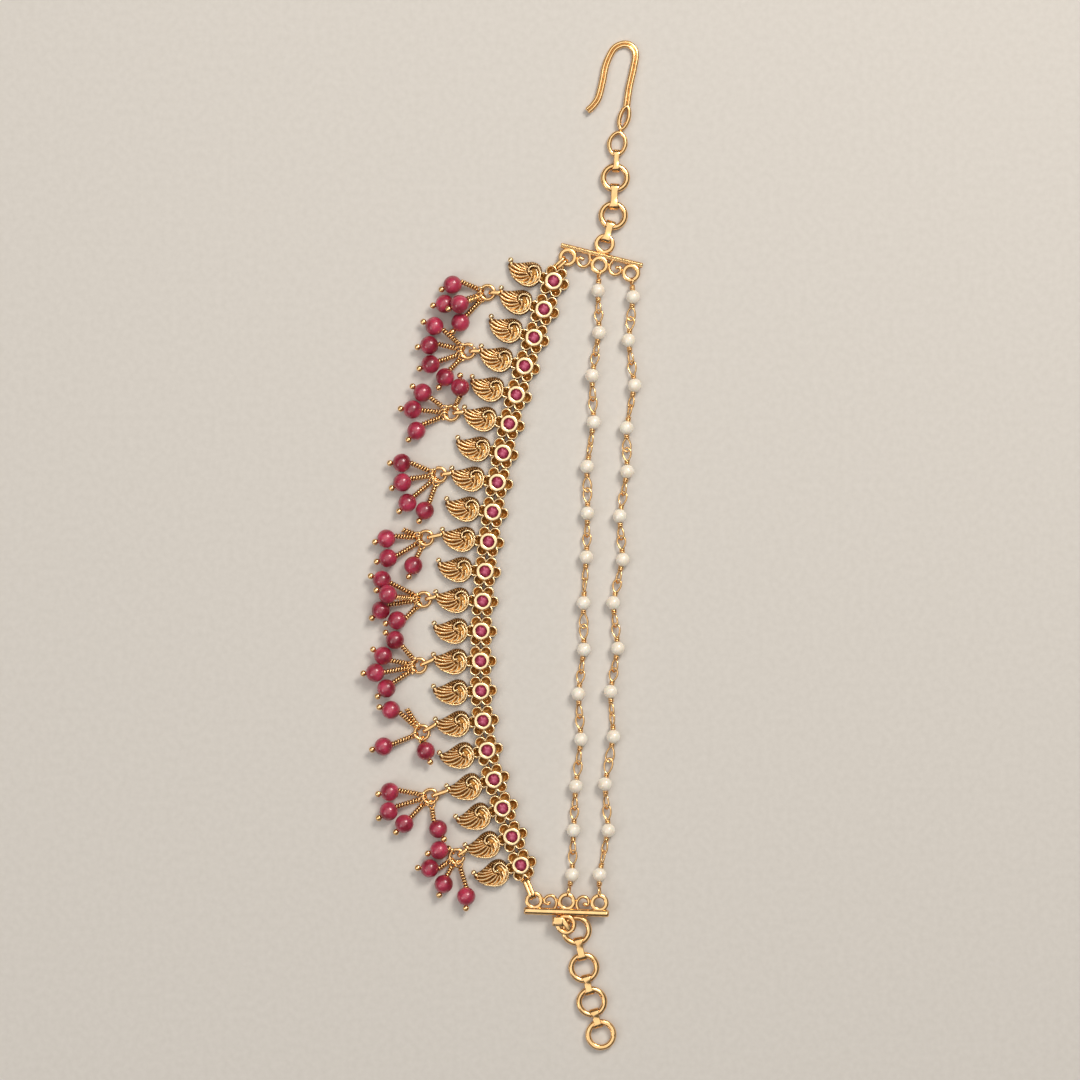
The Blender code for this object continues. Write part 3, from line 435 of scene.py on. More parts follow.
def strip_places():
    top = bar_ring_place(TOP_BAR, 0)
    first = vec(*top[:2]) + bearing(TOP_LINK[0]) * TOP_LINK[1]
    route = smooth_path([vec(x, y) for x, y in STRIP_ROUTE], 12)
    total = np.linalg.norm(np.diff(route, axis=0), axis=1).sum()
    route = first + route * STRIP_LENGTH / total
    lengths = np.concatenate([[0], np.cumsum(np.linalg.norm(np.diff(route, axis=0), axis=1))])
    places = []
    for index in range(MOTIF_COUNT):
        target = lengths[-1] * index / (MOTIF_COUNT - 1)
        k = min(max(int(np.searchsorted(lengths, target)) - 1, 0), len(route) - 2)
        share = (target - lengths[k]) / (lengths[k + 1] - lengths[k])
        before = route[max(k - 1, 0)]
        after = route[min(k + 2, len(route) - 1)]
        places.append((route[k] + (route[k + 1] - route[k]) * share, unit(after - before)))
    return places


def bar_ring_place(bar, index):
    return np.array(bar @ Vector(((index - 1) * BAR_RING_PITCH, 0, 0)))


def motif_matrix(place, direction):
    turn = math.degrees(math.atan2(-direction[1], -direction[0])) - 90
    return turn_z(turn, place)


TOP_BAR = turn_z(TOP_BAR_TURN, (*TOP_BAR_PLACE, TOP_LEVEL))
STRIP = strip_places()
LAST_LINK = STRIP[-1][0] + bearing(BOTTOM_LINK[0]) * BOTTOM_LINK[1]
BOTTOM_PLACE = LAST_LINK + bearing(BOTTOM_BAR_TURN) * BAR_RING_PITCH
BOTTOM_BAR = turn_z(BOTTOM_BAR_TURN, (*BOTTOM_PLACE[:2], BOTTOM_LEVEL))

# From the layout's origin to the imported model's
SHIFT = Vector((0.029, 0.105, 0.0))


def cluster_rings():
    """Jump ring centre of each cluster."""
    places = []
    for index, cluster in enumerate(CLUSTERS):
        matrix = motif_matrix(*STRIP[2 * index + 1])
        slot = np.array(matrix @ Vector(EYE_SLOT))
        outward = np.array(matrix.to_3x3() @ Vector((-1, 0, 0)))
        swing = math.degrees(math.atan2(outward[1], outward[0])) + cluster["swing"]
        places.append(slot + bearing(swing) * JUMP_RING_RADIUS)
    return places


def bead_places(rings):
    """Centre and pin direction of each bead, lying on the floor or on beads before it."""
    laid = []
    clusters = []
    reach = BEAD_DIAMETER + BEAD_GAP
    for ring, cluster in zip(rings, CLUSTERS):
        beads = []
        for x, y, head in cluster["beads"]:
            place = ring + vec(x, y)
            place[2] = BEAD_DIAMETER / 2
            for other in laid:
                apart = np.linalg.norm(place[:2] - other[:2])
                if apart < reach:
                    place[2] = max(place[2], other[2] + math.sqrt(reach**2 - apart**2))
            laid.append(place)
            lowered = place - Z * min(BEAD_LOWERED, place[2] - BEAD_DIAMETER / 2)
            beads.append((lowered, bearing(head)))
        clusters.append(beads)
    return clusters


def pearl_places(index, name):
    top = bar_ring_place(TOP_BAR, index + 1)
    bottom = bar_ring_place(BOTTOM_BAR, index + 1)
    across = unit(np.cross(vec(*(bottom - top)[:2]), -Z))
    places = []
    for share, shift in PEARL_STRANDS[name]:
        place = top + (bottom - top) * share + across * shift
        place[2] = PEARL_DIAMETER / 2
        places.append(place)
    return top, places, bottom


# Materials


class Surface:
    """Procedural material: its shader and the nodes that feed it."""

    def __init__(self, name, **inputs):
        self.material = bpy.data.materials.new(name)
        self.material.use_nodes = True
        self.nodes = self.material.node_tree.nodes
        self.links = self.material.node_tree.links
        self.shader = self.nodes["Principled BSDF"]
        for socket, value in inputs.items():
            self.shader.inputs[socket.replace("_", " ")].default_value = value

    def noise(self, scale, detail=3.0):
        where = self.nodes.new("ShaderNodeTexCoord")
        texture = self.nodes.new("ShaderNodeTexNoise")
        texture.inputs["Scale"].default_value = scale
        texture.inputs["Detail"].default_value = detail
        self.links.new(where.outputs["Object"], texture.inputs["Vector"])
        return texture.outputs["Fac"]

    def painted_shading(self):
        """The painted shading that each point of a shape carries: painted shade where it is positive,
        painted highlight where it is negative.
        """
        node = self.nodes.new("ShaderNodeAttribute")
        node.attribute_name = "painted_shading"
        return node.outputs["Fac"]

    def mix(self, source, factor, added):
        node = self.nodes.new("ShaderNodeMath")
        node.operation = "MULTIPLY_ADD"
        self.links.new(source, node.inputs[0])
        node.inputs[1].default_value = factor
        self.links.new(added, node.inputs[2])
        return node.outputs[0]

    def ramp(self, socket, source, stops):
        """Colours or plain values of a socket, by the source's value."""
        node = self.nodes.new("ShaderNodeValToRGB")
        elements = node.color_ramp.elements
        while len(elements) < len(stops):
            elements.new(0.5)
        for element, (place, value) in zip(elements, stops):
            element.position = place
            element.color = (*np.broadcast_to(value, 3), 1.0)
        self.links.new(source, node.inputs["Fac"])
        self.links.new(node.outputs["Color"], self.shader.inputs[socket])

    def bump(self, height, strength, distance):
        node = self.nodes.new("ShaderNodeBump")
        node.inputs["Strength"].default_value = strength
        node.inputs["Distance"].default_value = distance
        self.links.new(height, node.inputs["Height"])
        self.links.new(node.outputs["Normal"], self.shader.inputs["Normal"])


def polished_gold():
    gold = Surface("polished_gold", Metallic=1.0)
    gold.ramp("Base Color", gold.noise(700.0), [(0.3, (0.88, 0.53, 0.22)), (0.7, (1.0, 0.65, 0.31))])
    gold.ramp("Roughness", gold.noise(1500.0), [(0.3, 0.17), (0.75, 0.27)])
    gold.bump(gold.noise(1400.0, 2.0), 0.12, 0.00004)
    return gold.material


def antique_gold():
    """Cast gold with painted shade in its hollows and painted highlights on its crests, from the painted
    shading of each point, over a random grain.
    """
    gold = Surface("antique_gold")
    # Random grain plus painted shading: darker where shade is painted, paler where a highlight is painted
    grain_and_painted_shading = gold.mix(gold.noise(2600.0, 4.0), 0.3, gold.painted_shading())
    stops = [
        (0.0, (1.0, 0.76, 0.44)),
        (0.14, (1.0, 0.65, 0.3)),
        (0.4, (0.7, 0.39, 0.12)),
        (0.72, (0.32, 0.14, 0.025)),
        (1.0, (0.085, 0.03, 0.006)),
    ]
    gold.ramp("Base Color", grain_and_painted_shading, stops)
    gold.ramp("Metallic", grain_and_painted_shading, [(0.5, 1.0), (1.0, 0.6)])
    gold.ramp("Roughness", grain_and_painted_shading, [(0.05, 0.24), (0.5, 0.5)])
    gold.bump(gold.noise(4200.0, 5.0), 0.5, 0.00007)
    return gold.material


def ruby_bead():
    """Dyed translucent stone: deep raspberry with paler clouds."""
    ruby = Surface(
        "ruby_bead",
        Roughness=0.3,
        Subsurface_Weight=0.6,
        Subsurface_Radius=(1.0, 0.08, 0.16),
        Subsurface_Scale=0.0009,
        IOR=1.5,
        Specular_IOR_Level=0.75,
        Coat_Weight=0.35,
        Coat_Roughness=0.05,
    )
    stops = [(0.34, (0.22, 0.004, 0.018)), (0.68, (0.56, 0.05, 0.11))]
    ruby.ramp("Base Color", ruby.noise(380.0, 4.0), stops)
    return ruby.material


def ruby_stone():
    """Magenta stone over foil with painted light: a paler painted glow in the middle and painted shade
    darkest along its girdle, with darker and paler grains.
    """
    stone = Surface("ruby_stone", Roughness=0.42, Metallic=0.1, Specular_IOR_Level=0.3)
    stops = [
        (0.08, (0.13, 0.004, 0.02)),
        (0.32, (0.3, 0.02, 0.06)),
        (0.5, (0.5, 0.08, 0.15)),
        (0.68, (0.74, 0.25, 0.36)),
    ]
    # Painted light and shade: the table is painted paler and the girdle darker, from each point's painted
    # shading
    stone.ramp("Base Color", stone.mix(stone.painted_shading(), -0.42, stone.noise(1700.0)), stops)
    return stone.material


def pearl_lustre():
    pearl = Surface(
        "pearl_lustre",
        Roughness=0.24,
        Subsurface_Weight=0.2,
        Subsurface_Radius=(1.0, 0.7, 0.45),
        Subsurface_Scale=0.0004,
        Coat_Weight=0.9,
        Coat_Roughness=0.1,
    )
    pearl.ramp("Base Color", pearl.noise(500.0), [(0.3, (0.92, 0.79, 0.63)), (0.7, (1.0, 0.93, 0.81))])
    pearl.bump(pearl.noise(1600.0), 0.08, 0.00004)
    return pearl.material


def floor_paper():
    paper = Surface("floor", Roughness=0.9)
    paper.ramp("Base Color", paper.noise(900.0, 6.0), [(0.3, (0.66, 0.62, 0.57)), (0.7, (0.7, 0.66, 0.61))])
    return paper.material


GOLD = polished_gold()
ANTIQUE = antique_gold()
FINISHES = {
    "polished_gold": [GOLD, ANTIQUE],
    "antique_gold": [ANTIQUE],
    "ruby_bead": [ruby_bead()],
    "pearl": [pearl_lustre()],
}


def place_mesh(name, mesh, replaced=(), matrix=None):
    piece = bpy.data.objects.new(name, mesh)
    bpy.context.scene.collection.objects.link(piece)
    matrix = Matrix(matrix) if matrix is not None else Matrix.Identity(4)
    matrix.translation = (matrix.translation + SHIFT) / METRE
    piece.matrix_world = matrix
    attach(piece, "root")
    if replaced:
        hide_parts(*replaced)


def place_shape(name, shape, slot, replaced=(), matrix=None):
    """One piece made from one shape, in as many of its slot's finishes as its faces ask for."""
    place_mesh(name, shape.mesh(name, FINISHES[slot][: max(shape.slots) + 1]), replaced, matrix)


# Flower and paisley motifs

PETAL_RING_RADIUS = 1.875
PETAL_LOBE_RADIUS = 0.98
PAISLEY_CENTRE = np.array((-4.75, -0.25))
PAISLEY_EDGE = [
    (-2.34, -0.4), (-2.42, 0.7), (-2.8, 1.6), (-3.5, 2.08), (-4.4, 2.16), (-5.3, 1.9), (-6.2, 1.46),
    (-7.2, 1.05), (-7.95, 0.9), (-8.5, 0.75), (-8.62, 0.3), (-8.4, -0.2), (-7.95, -0.85), (-7.2, -1.6),
    (-6.2, -2.15), (-5.1, -2.46), (-4.1, -2.44), (-3.2, -2.05), (-2.6, -1.35),
]
ROPE = [
    (-4.55, 0.3), (-4.86, 0.36), (-4.8, 0.95), (-4.2, 1.42), (-3.42, 1.44), (-2.82, 0.88), (-2.52, -0.05),
    (-2.58, -0.75), (-2.92, -1.42), (-3.48, -1.96), (-4.2, -2.26), (-4.95, -2.28), (-5.75, -2.1),
    (-6.6, -1.78),
]
STRANDS = [
    ([(-8.3, 0.6), (-7.35, 0.2), (-6.4, 0.04), (-5.15, 0.12)], 0.24),
    ([(-8.4, -0.06), (-7.6, -0.42), (-6.8, -0.54), (-5.9, -0.42), (-4.95, -0.16)], 0.25),
    ([(-8.05, -0.72), (-7.3, -1.16), (-6.2, -1.2), (-5.2, -0.82), (-4.65, -0.42)], 0.26),
    ([(-7.3, -1.5), (-6.2, -1.8), (-5.2, -1.5), (-4.4, -0.75)], 0.26),
    ([(-7.6, 0.9), (-6.6, 0.55), (-5.2, 0.46)], 0.21),
    ([(-6.8, 1.15), (-5.9, 0.95), (-5.1, 0.82)], 0.2),
    ([(-5.95, -2.0), (-4.95, -1.95), (-4.25, -1.5), (-3.98, -0.6)], 0.3),
    ([(-4.6, -2.1), (-3.8, -1.8), (-3.42, -1.15), (-3.5, -0.2)], 0.36),
    ([(-3.55, -1.7), (-3.0, -1.05), (-2.92, -0.2), (-3.2, 0.55), (-3.6, 0.95)], 0.34),
]
FLUTE_CENTRE = np.array((-4.2, 0.2))
PAISLEY_POINTS = 192
PAISLEY_LEVELS = 30
COMB_TEETH = 27
SKIRT_TEETH = 29
ROPE_BEADS = 37
ROPE_RADIUS = 0.185
FLOWER_POINTS = 144
PETAL_WIRE = 0.28
# Collet section: radius, height and painted shading, with painted shade at its foot and painted highlight
# along its top
COLLET = [
    (1.46, 0.8, 0.5), (1.55, 1.5, 0.3), (1.59, 1.84, 0.0), (1.56, 1.93, -0.2), (1.47, 1.985, -0.3),
    (1.26, 2.0, -0.3), (1.07, 1.985, -0.3), (0.99, 1.92, -0.2), (0.96, 1.8, 0.1), (0.95, 1.6, 0.4),
]


def comb_zone(angle):
    """Share of the milled edge at an angle round the spiral, in degrees."""
    return step(angle, 2, 22) * (1 - step(angle, 140, 162))


def paisley_surface(points, depth):
    """Height and painted shading of the chased paisley: painted shade in its grooves and along the rope,
    painted highlight on its strands; depth is the points' share of the way in from the edge.
    """
    offset = points - FLUTE_CENTRE
    angle = np.degrees(np.arctan2(offset[:, 1], offset[:, 0]))
    radius = np.linalg.norm(offset, axis=1)
    upper = comb_zone(angle)
    base = 0.98 + 0.2 * np.exp(-((radius / 1.1) ** 2)) + 0.1 * step(-points[:, 0], 5.6, 8.0)
    base += 0.1 * step(depth, 0.0, 0.3)
    ridge = np.zeros(len(points))
    for strand, width in STRANDS:
        gap, share = distance_to(points, smooth_path(strand, 6))
        half = width * (0.72 + 0.4 * np.sin(math.pi * np.clip(share, 0.05, 0.95)))
        profile = np.clip(1 - (gap / half) ** 2, 0, 1)
        ridge = np.maximum(ridge, profile * (0.8 + 0.2 * np.sin(math.pi * share)))
    inside = 1 - step(radius, 1.15, 1.35) * upper
    height = base + 0.4 * ridge * inside
    dish = np.exp(-(((points[:, 0] + 3.35) / 0.6) ** 2) - (((points[:, 1] - 0.6) / 0.62) ** 2))
    height -= 0.2 * dish
    flutes = 0.5 + 0.5 * np.cos(np.radians(angle * COMB_TEETH))
    slope = 1.3 - 0.66 * step(radius, 1.3, 2.1) + 0.46 * (flutes - 0.5) * step(radius, 1.3, 1.6)
    band = upper * step(radius, 1.36, 1.5)
    height = height * (1 - band) + slope * band
    ridge = ridge * (1 - band) + (0.92 * flutes) * band
    gap, share = distance_to(points, smooth_path(ROPE, 8))
    near = np.exp(-((gap / 0.27) ** 2))
    height -= 0.2 * near
    # Painted shade in the grooves, along the rope and on the comb; painted highlight on the strands, the
    # flutes and in the dish
    painted_shading = np.clip(0.77 - 1.2 * ridge - 0.6 * dish + 0.4 * near + 0.12 * band, -0.3, 1)
    return height, painted_shading


def add_paisley(shape):
    edge = evenly(smooth_path(PAISLEY_EDGE, 10, True), PAISLEY_POINTS, True)
    shares = 1 - np.linspace(0, 1, PAISLEY_LEVELS) ** 1.15
    levels = []
    values = []
    for share in shares[:-1]:
        points = PAISLEY_CENTRE + (edge - PAISLEY_CENTRE) * share
        height, painted_shading = paisley_surface(points, 1 - share)
        height -= 0.16 * step(share, 0.93, 1.0)
        levels.append(np.column_stack([points, height]))
        values.append(painted_shading)
    offset = edge - FLUTE_CENTRE
    angle = np.degrees(np.arctan2(offset[:, 1], offset[:, 0]))
    groove = 0.05 * (0.5 - 0.5 * np.cos(np.radians(angle * SKIRT_TEETH))) * comb_zone(angle)
    skirt = edge - (edge - PAISLEY_CENTRE) * groove[:, None] * 0.5
    # Painted shade at the foot of the edge and on its skirt
    levels.insert(0, np.column_stack([skirt, np.full(len(edge), 0.3)]))
    values.insert(0, np.full(len(edge), 0.85))
    levels.insert(0, np.column_stack([edge, np.zeros(len(edge))]))
    values.insert(0, np.full(len(edge), 0.9))
    shape.rings(levels, value=np.concatenate(values))


def add_rope(shape):
    path = evenly(smooth_path([(*p, 0.0) for p in ROPE], 10), 150)
    along = np.linspace(0, 1, len(path))
    path[:, 2] = 1.5 + 0.1 * np.sin(math.pi * np.clip(along * 1.6, 0, 1)) - 0.1 * step(along, 0.8, 1.0)
    bead = np.cos(np.linspace(0, 2 * math.pi * ROPE_BEADS, len(path)))
    radius = ROPE_RADIUS * (1 + 0.14 * bead) * (1 - 0.35 * step(along, 0.85, 1.0))
    # Painted highlight on each bead of the rope
    painted_shading = np.repeat(-0.2 - 0.2 * bead, 8)
    shape.tube(path, radius, 8, normal=Z, value=painted_shading)


def add_boss(shape):
    """Twin bumps where the rope curls in, and the ball on its neck at the tail's tip."""
    # Negative values paint highlights on the bumps, the ball and its neck
    shape.ball(vec(-4.3, 0.3, 1.5), 0.34, around=14, rows=8, value=-0.15)
    shape.ball(vec(-4.7, 0.16, 1.46), 0.27, around=12, rows=8, value=-0.05)
    curl = [(-4.3, 0.1, 1.52), (-4.02, -0.28, 1.48), (-3.95, -0.7, 1.4), (-4.15, -1.1, 1.3)]
    path = evenly(smooth_path(curl, 6), 20)
    shape.tube(path, np.linspace(0.22, 0.12, 20), 8, normal=Z, value=0.0)
    shape.ball(vec(-8.44, 1.16, 1.16), 0.5, around=16, rows=10, squash=0.85, value=-0.3)
    neck = smooth_path([(-7.9, 0.2, 1.1), (-8.15, 0.6, 1.15), (-8.4, 1.1, 1.16)], 6)
    shape.tube(neck, np.linspace(0.3, 0.22, len(neck)), 8, value=-0.05)


def petal_radius(angle, inset=0.0):
    """Radius of the six-lobed outline."""
    lobe = (angle + math.pi / 6) % (math.pi / 3) - math.pi / 6
    reach = PETAL_LOBE_RADIUS - inset
    side = np.clip(reach**2 - (PETAL_RING_RADIUS * np.sin(lobe)) ** 2, 0.002, None)
    return PETAL_RING_RADIUS * np.cos(lobe) + np.sqrt(side)


def add_flower(shape):
    angles = np.arange(FLOWER_POINTS) * 2 * math.pi / FLOWER_POINTS
    out = np.stack([np.cos(angles), np.sin(angles)], 1)
    outer = petal_radius(angles)
    levels = []
    values = []

    def level(radius, height, painted_shading):
        radius, height, painted_shading = (np.broadcast_to(each, FLOWER_POINTS) for each in (radius, height, painted_shading))
        levels.append(np.column_stack([out * radius[:, None], height]))
        values.append(painted_shading)

    lobe = 0.5 + 0.5 * np.cos(6 * angles)
    # Painted shade at the foot of the petals, fading up their sides
    level(outer * 0.97, 0.0, 0.9)
    level(outer, 0.35, 0.7)
    level(outer, 1.22, 0.25)
    level(outer - 0.05, 1.34, 0.05)
    for share in np.linspace(0.0, 1.0, 8):
        radius = (outer - 0.18) * (1 - share) + 1.4 * share
        bowl = np.sin(math.pi * np.clip(share * 1.05, 0, 1))
        # Painted shade deepening into each petal's cup
        level(radius, 1.22 - 0.42 * bowl * lobe - 0.14 * bowl, 0.1 + 0.2 * bowl + 0.5 * share * bowl)
    shape.rings(levels, value=np.concatenate(values))
    for k in range(6):
        middle = bearing(60 * k) * PETAL_RING_RADIUS
        arc = np.radians(60 * k + np.linspace(-122, 122, 25))
        reach = PETAL_LOBE_RADIUS - 0.11
        path = arc_path(middle, reach, arc)
        path[:, 2] = 1.38 - 0.1 * np.abs(np.linspace(-1, 1, 25)) ** 3
        # Painted highlight along the petal wires
        shape.tube(path, PETAL_WIRE / 2, 8, normal=Z, value=-0.15)


def add_granules(shape):
    """Small grains in the petals, with two bright ones and a short bar below the collet."""
    # The grains in the petals and the three by the edge carry painted shade, the smaller ball a little
    for k in range(6):
        for dx, dy, size in ((0.1, 0.34, 0.09), (-0.18, -0.26, 0.11), (0.24, -0.05, 0.08)):
            angle = math.radians(60 * k + 24 * dy)
            radius = 2.12 + dx
            place = vec(radius * math.cos(angle), radius * math.sin(angle), 0.86)
            shape.ball(place, size, around=8, rows=5, value=0.45)
    shape.ball(vec(0.98, -1.84, 1.1), 0.17, around=12, rows=7)
    shape.ball(vec(-0.82, -1.9, 1.02), 0.13, around=10, rows=6, value=0.25)
    shape.tube(np.linspace((-0.3, -1.98, 1.14), (0.16, -1.98, 1.14), 4), 0.11, 8, normal=Z)
    for x, y in ((-2.05, 0.55), (-2.12, -0.95), (-2.2, -0.2)):
        shape.ball(vec(x, y, 1.3), 0.2, around=10, rows=6, value=0.3)


def add_collet(shape):
    """Rounded ring round the stone, slightly uneven as if hand set, with painted highlight along its top
    and painted shade at its foot.
    """
    angles = np.arange(64) * 2 * math.pi / 64
    wave = 0.02 * np.sin(3 * angles + 0.6) + 0.012 * np.sin(7 * angles)
    levels = []
    for index, (radius, height, _) in enumerate(COLLET):
        size = radius + wave * (1.0 if index > 1 else 0.3)
        levels.append(np.column_stack([np.cos(angles) * size, np.sin(angles) * size, np.full(64, height)]))
    shape.rings(levels, value=np.repeat([painted_shading for _, _, painted_shading in COLLET], 64))


def add_stone(shape):
    """Brilliant cut with a table, star facets and crown facets."""
    def points(radius, height, start, sides=8):
        return [vec(x, y, height) for x, y in circle(radius, sides, start)]

    turn = math.pi / 8
    table = points(0.46, 2.2, 0.0)
    middle = points(0.76, 2.06, turn)
    girdle = points(0.97, 1.84, 0.0, 16)
    base = points(0.93, 1.74, 0.0, 16)
    everything = table + middle + girdle + base
    faces = [list(range(8))]
    for k in range(8):
        m = (k + 1) % 8
        faces.append([k, 8 + k, m])
        faces.append([k, 16 + 2 * k, 8 + k])
        faces.append([8 + k, 16 + (2 * k + 2) % 16, m])
        faces.append([16 + 2 * k, 16 + 2 * k + 1, 8 + k])
        faces.append([16 + 2 * k + 1, 16 + (2 * k + 2) % 16, 8 + k])
    for k in range(16):
        m = (k + 1) % 16
        faces.append([16 + k, 32 + k, 32 + m, 16 + m])
    faces.append([32 + k for k in reversed(range(16))])
    # Painted shading of the stone: none on the table, painted shade growing towards the girdle
    shape.add(everything, faces, value=np.repeat([0.0, 0.35, 1.0, 1.0], [8, 8, 16, 16]))


def build_motifs():
    shape = Shape()
    add_paisley(shape)
    add_rope(shape)
    add_boss(shape)
    add_flower(shape)
    add_granules(shape)
    add_collet(shape)
    motif_mesh = shape.mesh("chased_motif", [ANTIQUE])
    stone = Shape()
    add_stone(stone)
    stone_mesh = stone.mesh("motif_stone", [ruby_stone()], flat=(0,))
    for index, (place, direction) in enumerate(STRIP):
        matrix = motif_matrix(vec(*place[:2]), direction)
        number = f"{index + 1:02d}"
        place_mesh(f"chased_motif_{number}", motif_mesh, [f"motif_{number}"], matrix)
        place_mesh(f"stone_{number}", stone_mesh, (), matrix)


def build_hinges():
    """Wire loops that hold each flower to the next one, low between the petals."""
    shape = Shape()
    for (a, _), (b, _) in zip(STRIP, STRIP[1:]):
        middle = (a + b) / 2
        along = unit(b - a)
        side = np.cross(along, Z)
        centre = vec(*middle[:2], 0.5)
        ring = ring_path(centre, HINGE_RADIUS, 16, HINGE_STRETCH, side, along)
        # Painted shade darkens the loops in the gaps between the flowers
        shape.tube(ring, HINGE_WIRE / 2, 6, closed=True, normal=Z, value=0.4)
        for end in (-HINGE_END_PLACE, HINGE_END_PLACE):
            ring = ring_path(centre + along * end, HINGE_END_RADIUS, 12, 1.0, along, Z)
            shape.tube(ring, HINGE_END_WIRE / 2, 6, closed=True, value=0.35)
    place_shape("strip_hinges", shape, "antique_gold")


# Ruby clusters


def add_tail_eye(shape, root, ring):
    """Upright flattened loop from the paisley's tail round the wire of the jump ring."""
    way = level_way(root, ring)
    high = TAIL_EYE_RISE
    reach = np.linalg.norm((ring - root)[:2]) - JUMP_RING_RADIUS + TAIL_EYE_PAST_WIRE - high
    path = [root + Z * high, root + way * 0.3 + Z * high]
    for angle in np.radians(np.linspace(90, -90, 13)):
        path.append(root + way * (reach + high * math.cos(angle)) + Z * high * math.sin(angle))
    path += [root + way * 0.3 - Z * high, root - Z * high]
    shape.sweep(np.array(path), circle(1.0, 12) * TAIL_EYE_SECTION, normal=np.cross(Z, way))


def add_jump_ring(shape, centre, turn):
    """Round wire ring with a narrow joint."""
    angles = np.radians(np.linspace(turn + 4, turn + 356, 40))
    shape.tube(arc_path(centre, JUMP_RING_RADIUS, angles), JUMP_RING_WIRE / 2, 10, normal=Z)


def helix(start, way, length, radius, turns, count, side, up):
    """Points of a wire wound round a straight stem."""
    path = []
    for t in np.linspace(0, 1, count):
        angle = 2 * math.pi * turns * t
        path.append(start + way * length * t + radius * (math.cos(angle) * side + math.sin(angle) * up))
    return np.array(path)


def add_coil(shape, start, end):
    """Turns of wire round a stem, with painted shade on the stem between the turns."""
    way = unit(end - start)
    length = np.linalg.norm(end - start)
    side, up = directions_across(way)
    turns = length / COIL_PITCH
    path = helix(start, way, length, COIL_RADIUS, turns, int(turns * 14), side, up)
    shape.tube(path, COIL_WIRE / 2, 7)
    # The stem is painted dark, as shade between the turns
    shape.tube(np.linspace(start, end, 3), COIL_RADIUS, 12, slot=PAINTED_SHADE_SLOT, value=0.95)


def add_pin_eye(shape, ring, start, lean):
    """Tilted eye round the jump ring; gives the point where its stem begins."""
    outward = level_way(ring, start)
    centre = ring + outward * (JUMP_RING_RADIUS + PIN_EYE_PAST_WIRE)
    up = Z * math.cos(lean) + np.cross(outward, Z) * math.sin(lean)
    path = ring_path(centre, PIN_EYE_RADIUS, 20, 1.0, outward, up)
    shape.tube(path, PIN_EYE_WIRE / 2, 8, closed=True, normal=np.cross(outward, up))
    return centre + outward * PIN_EYE_RADIUS


def add_headpin(shape, bead, head, ring, lean):
    """Head, wire through the bead, wrapped stem and an eye round the jump ring."""
    radius = BEAD_DIAMETER / 2
    centre = bead + head * (radius + PIN_HEAD_PAST_BEAD)
    shape.ball(centre, PIN_HEAD_RADIUS, around=14, rows=10, squash=0.8)
    start = bead - head * (radius - 0.1)
    shape.tube(np.linspace(centre, start, 4), PIN_WIRE / 2, 8)
    add_coil(shape, start, add_pin_eye(shape, ring, start, lean))


def add_bead(shape, centre, axis):
    """Round bead with a small dimple at each end of its hole."""
    side, up = directions_across(axis)
    levels = []
    for tilt in np.linspace(0.1, math.pi - 0.1, 22):
        ends = [math.exp(-(((end - 0.1) / DIMPLE_ANGLE) ** 2)) for end in (tilt, math.pi - tilt)]
        radius = BEAD_DIAMETER / 2 - DIMPLE_DEPTH * sum(ends)
        middle = centre + axis * (math.cos(tilt) * radius)
        levels.append(ring_path(middle, math.sin(tilt) * radius, 32, 1.0, side, up))
    shape.rings(levels[::-1])


def build_clusters():
    rings = cluster_rings()
    for index, (ring, beads) in enumerate(zip(rings, bead_places(rings))):
        metal = Shape()
        stones = Shape()
        ring = ring + vec(*RING_SHIFTS.get(index, (0.0, 0.0)))
        place, direction = STRIP[2 * index + 1]
        root = np.array(motif_matrix(vec(*place[:2]), direction) @ Vector(TAIL_ROOT))
        add_tail_eye(metal, root, ring)
        add_jump_ring(metal, ring, 40 * index)
        for order, (bead, head) in enumerate(beads):
            add_headpin(metal, bead, head, ring, math.radians(30 + 12 * order))
            add_bead(stones, bead, head)
        if index in STUBS:
            end = ring + vec(*STUBS[index])
            add_coil(metal, end, add_pin_eye(metal, ring, end, math.radians(50)))
        number = f"{index + 1:02d}"
        place_shape(f"ruby_drops_{number}", stones, "ruby_bead", [f"bead_cluster_{number}"])
        place_shape(f"drop_wires_{number}", metal, "polished_gold")


# Pearl strands


def add_strand_eye(shape, pearl, joint, tilt):
    """Wrap turns beside the pearl and a teardrop eye that ends at the joint with its neighbour."""
    way = unit(joint - pearl)
    side, up = directions_across(way)
    flat = side * math.cos(tilt) + up * math.sin(tilt)
    start = pearl + way * (PEARL_DIAMETER / 2 - 0.05)
    tip = joint + way * STRAND_JOINT_OVERLAP
    neck = start + way * WRAP_LENGTH
    length = np.linalg.norm(tip - neck)
    path = [neck + way * length * x + flat * y for x, y in STRAND_EYE]
    path += [neck + way * length * x - flat * y for x, y in STRAND_EYE[-2::-1]]
    shape.tube(smooth_path(path, 5, True), STRAND_WIRE / 2, 8, closed=True, normal=np.cross(way, flat))
    shape.tube(np.linspace(pearl, neck, 4), STRAND_STEM / 2, 8)
    wrap = helix(start + way * 0.1, way, WRAP_RUN, WRAP_RADIUS, WRAP_TURNS, 32, side, up)
    shape.tube(wrap, WRAP_WIRE / 2, 7)
    # Painted shade on the core under the wrap turns
    shape.tube(np.linspace(start, neck, 3), WRAP_CORE_RADIUS, 10, slot=PAINTED_SHADE_SLOT, value=0.9)


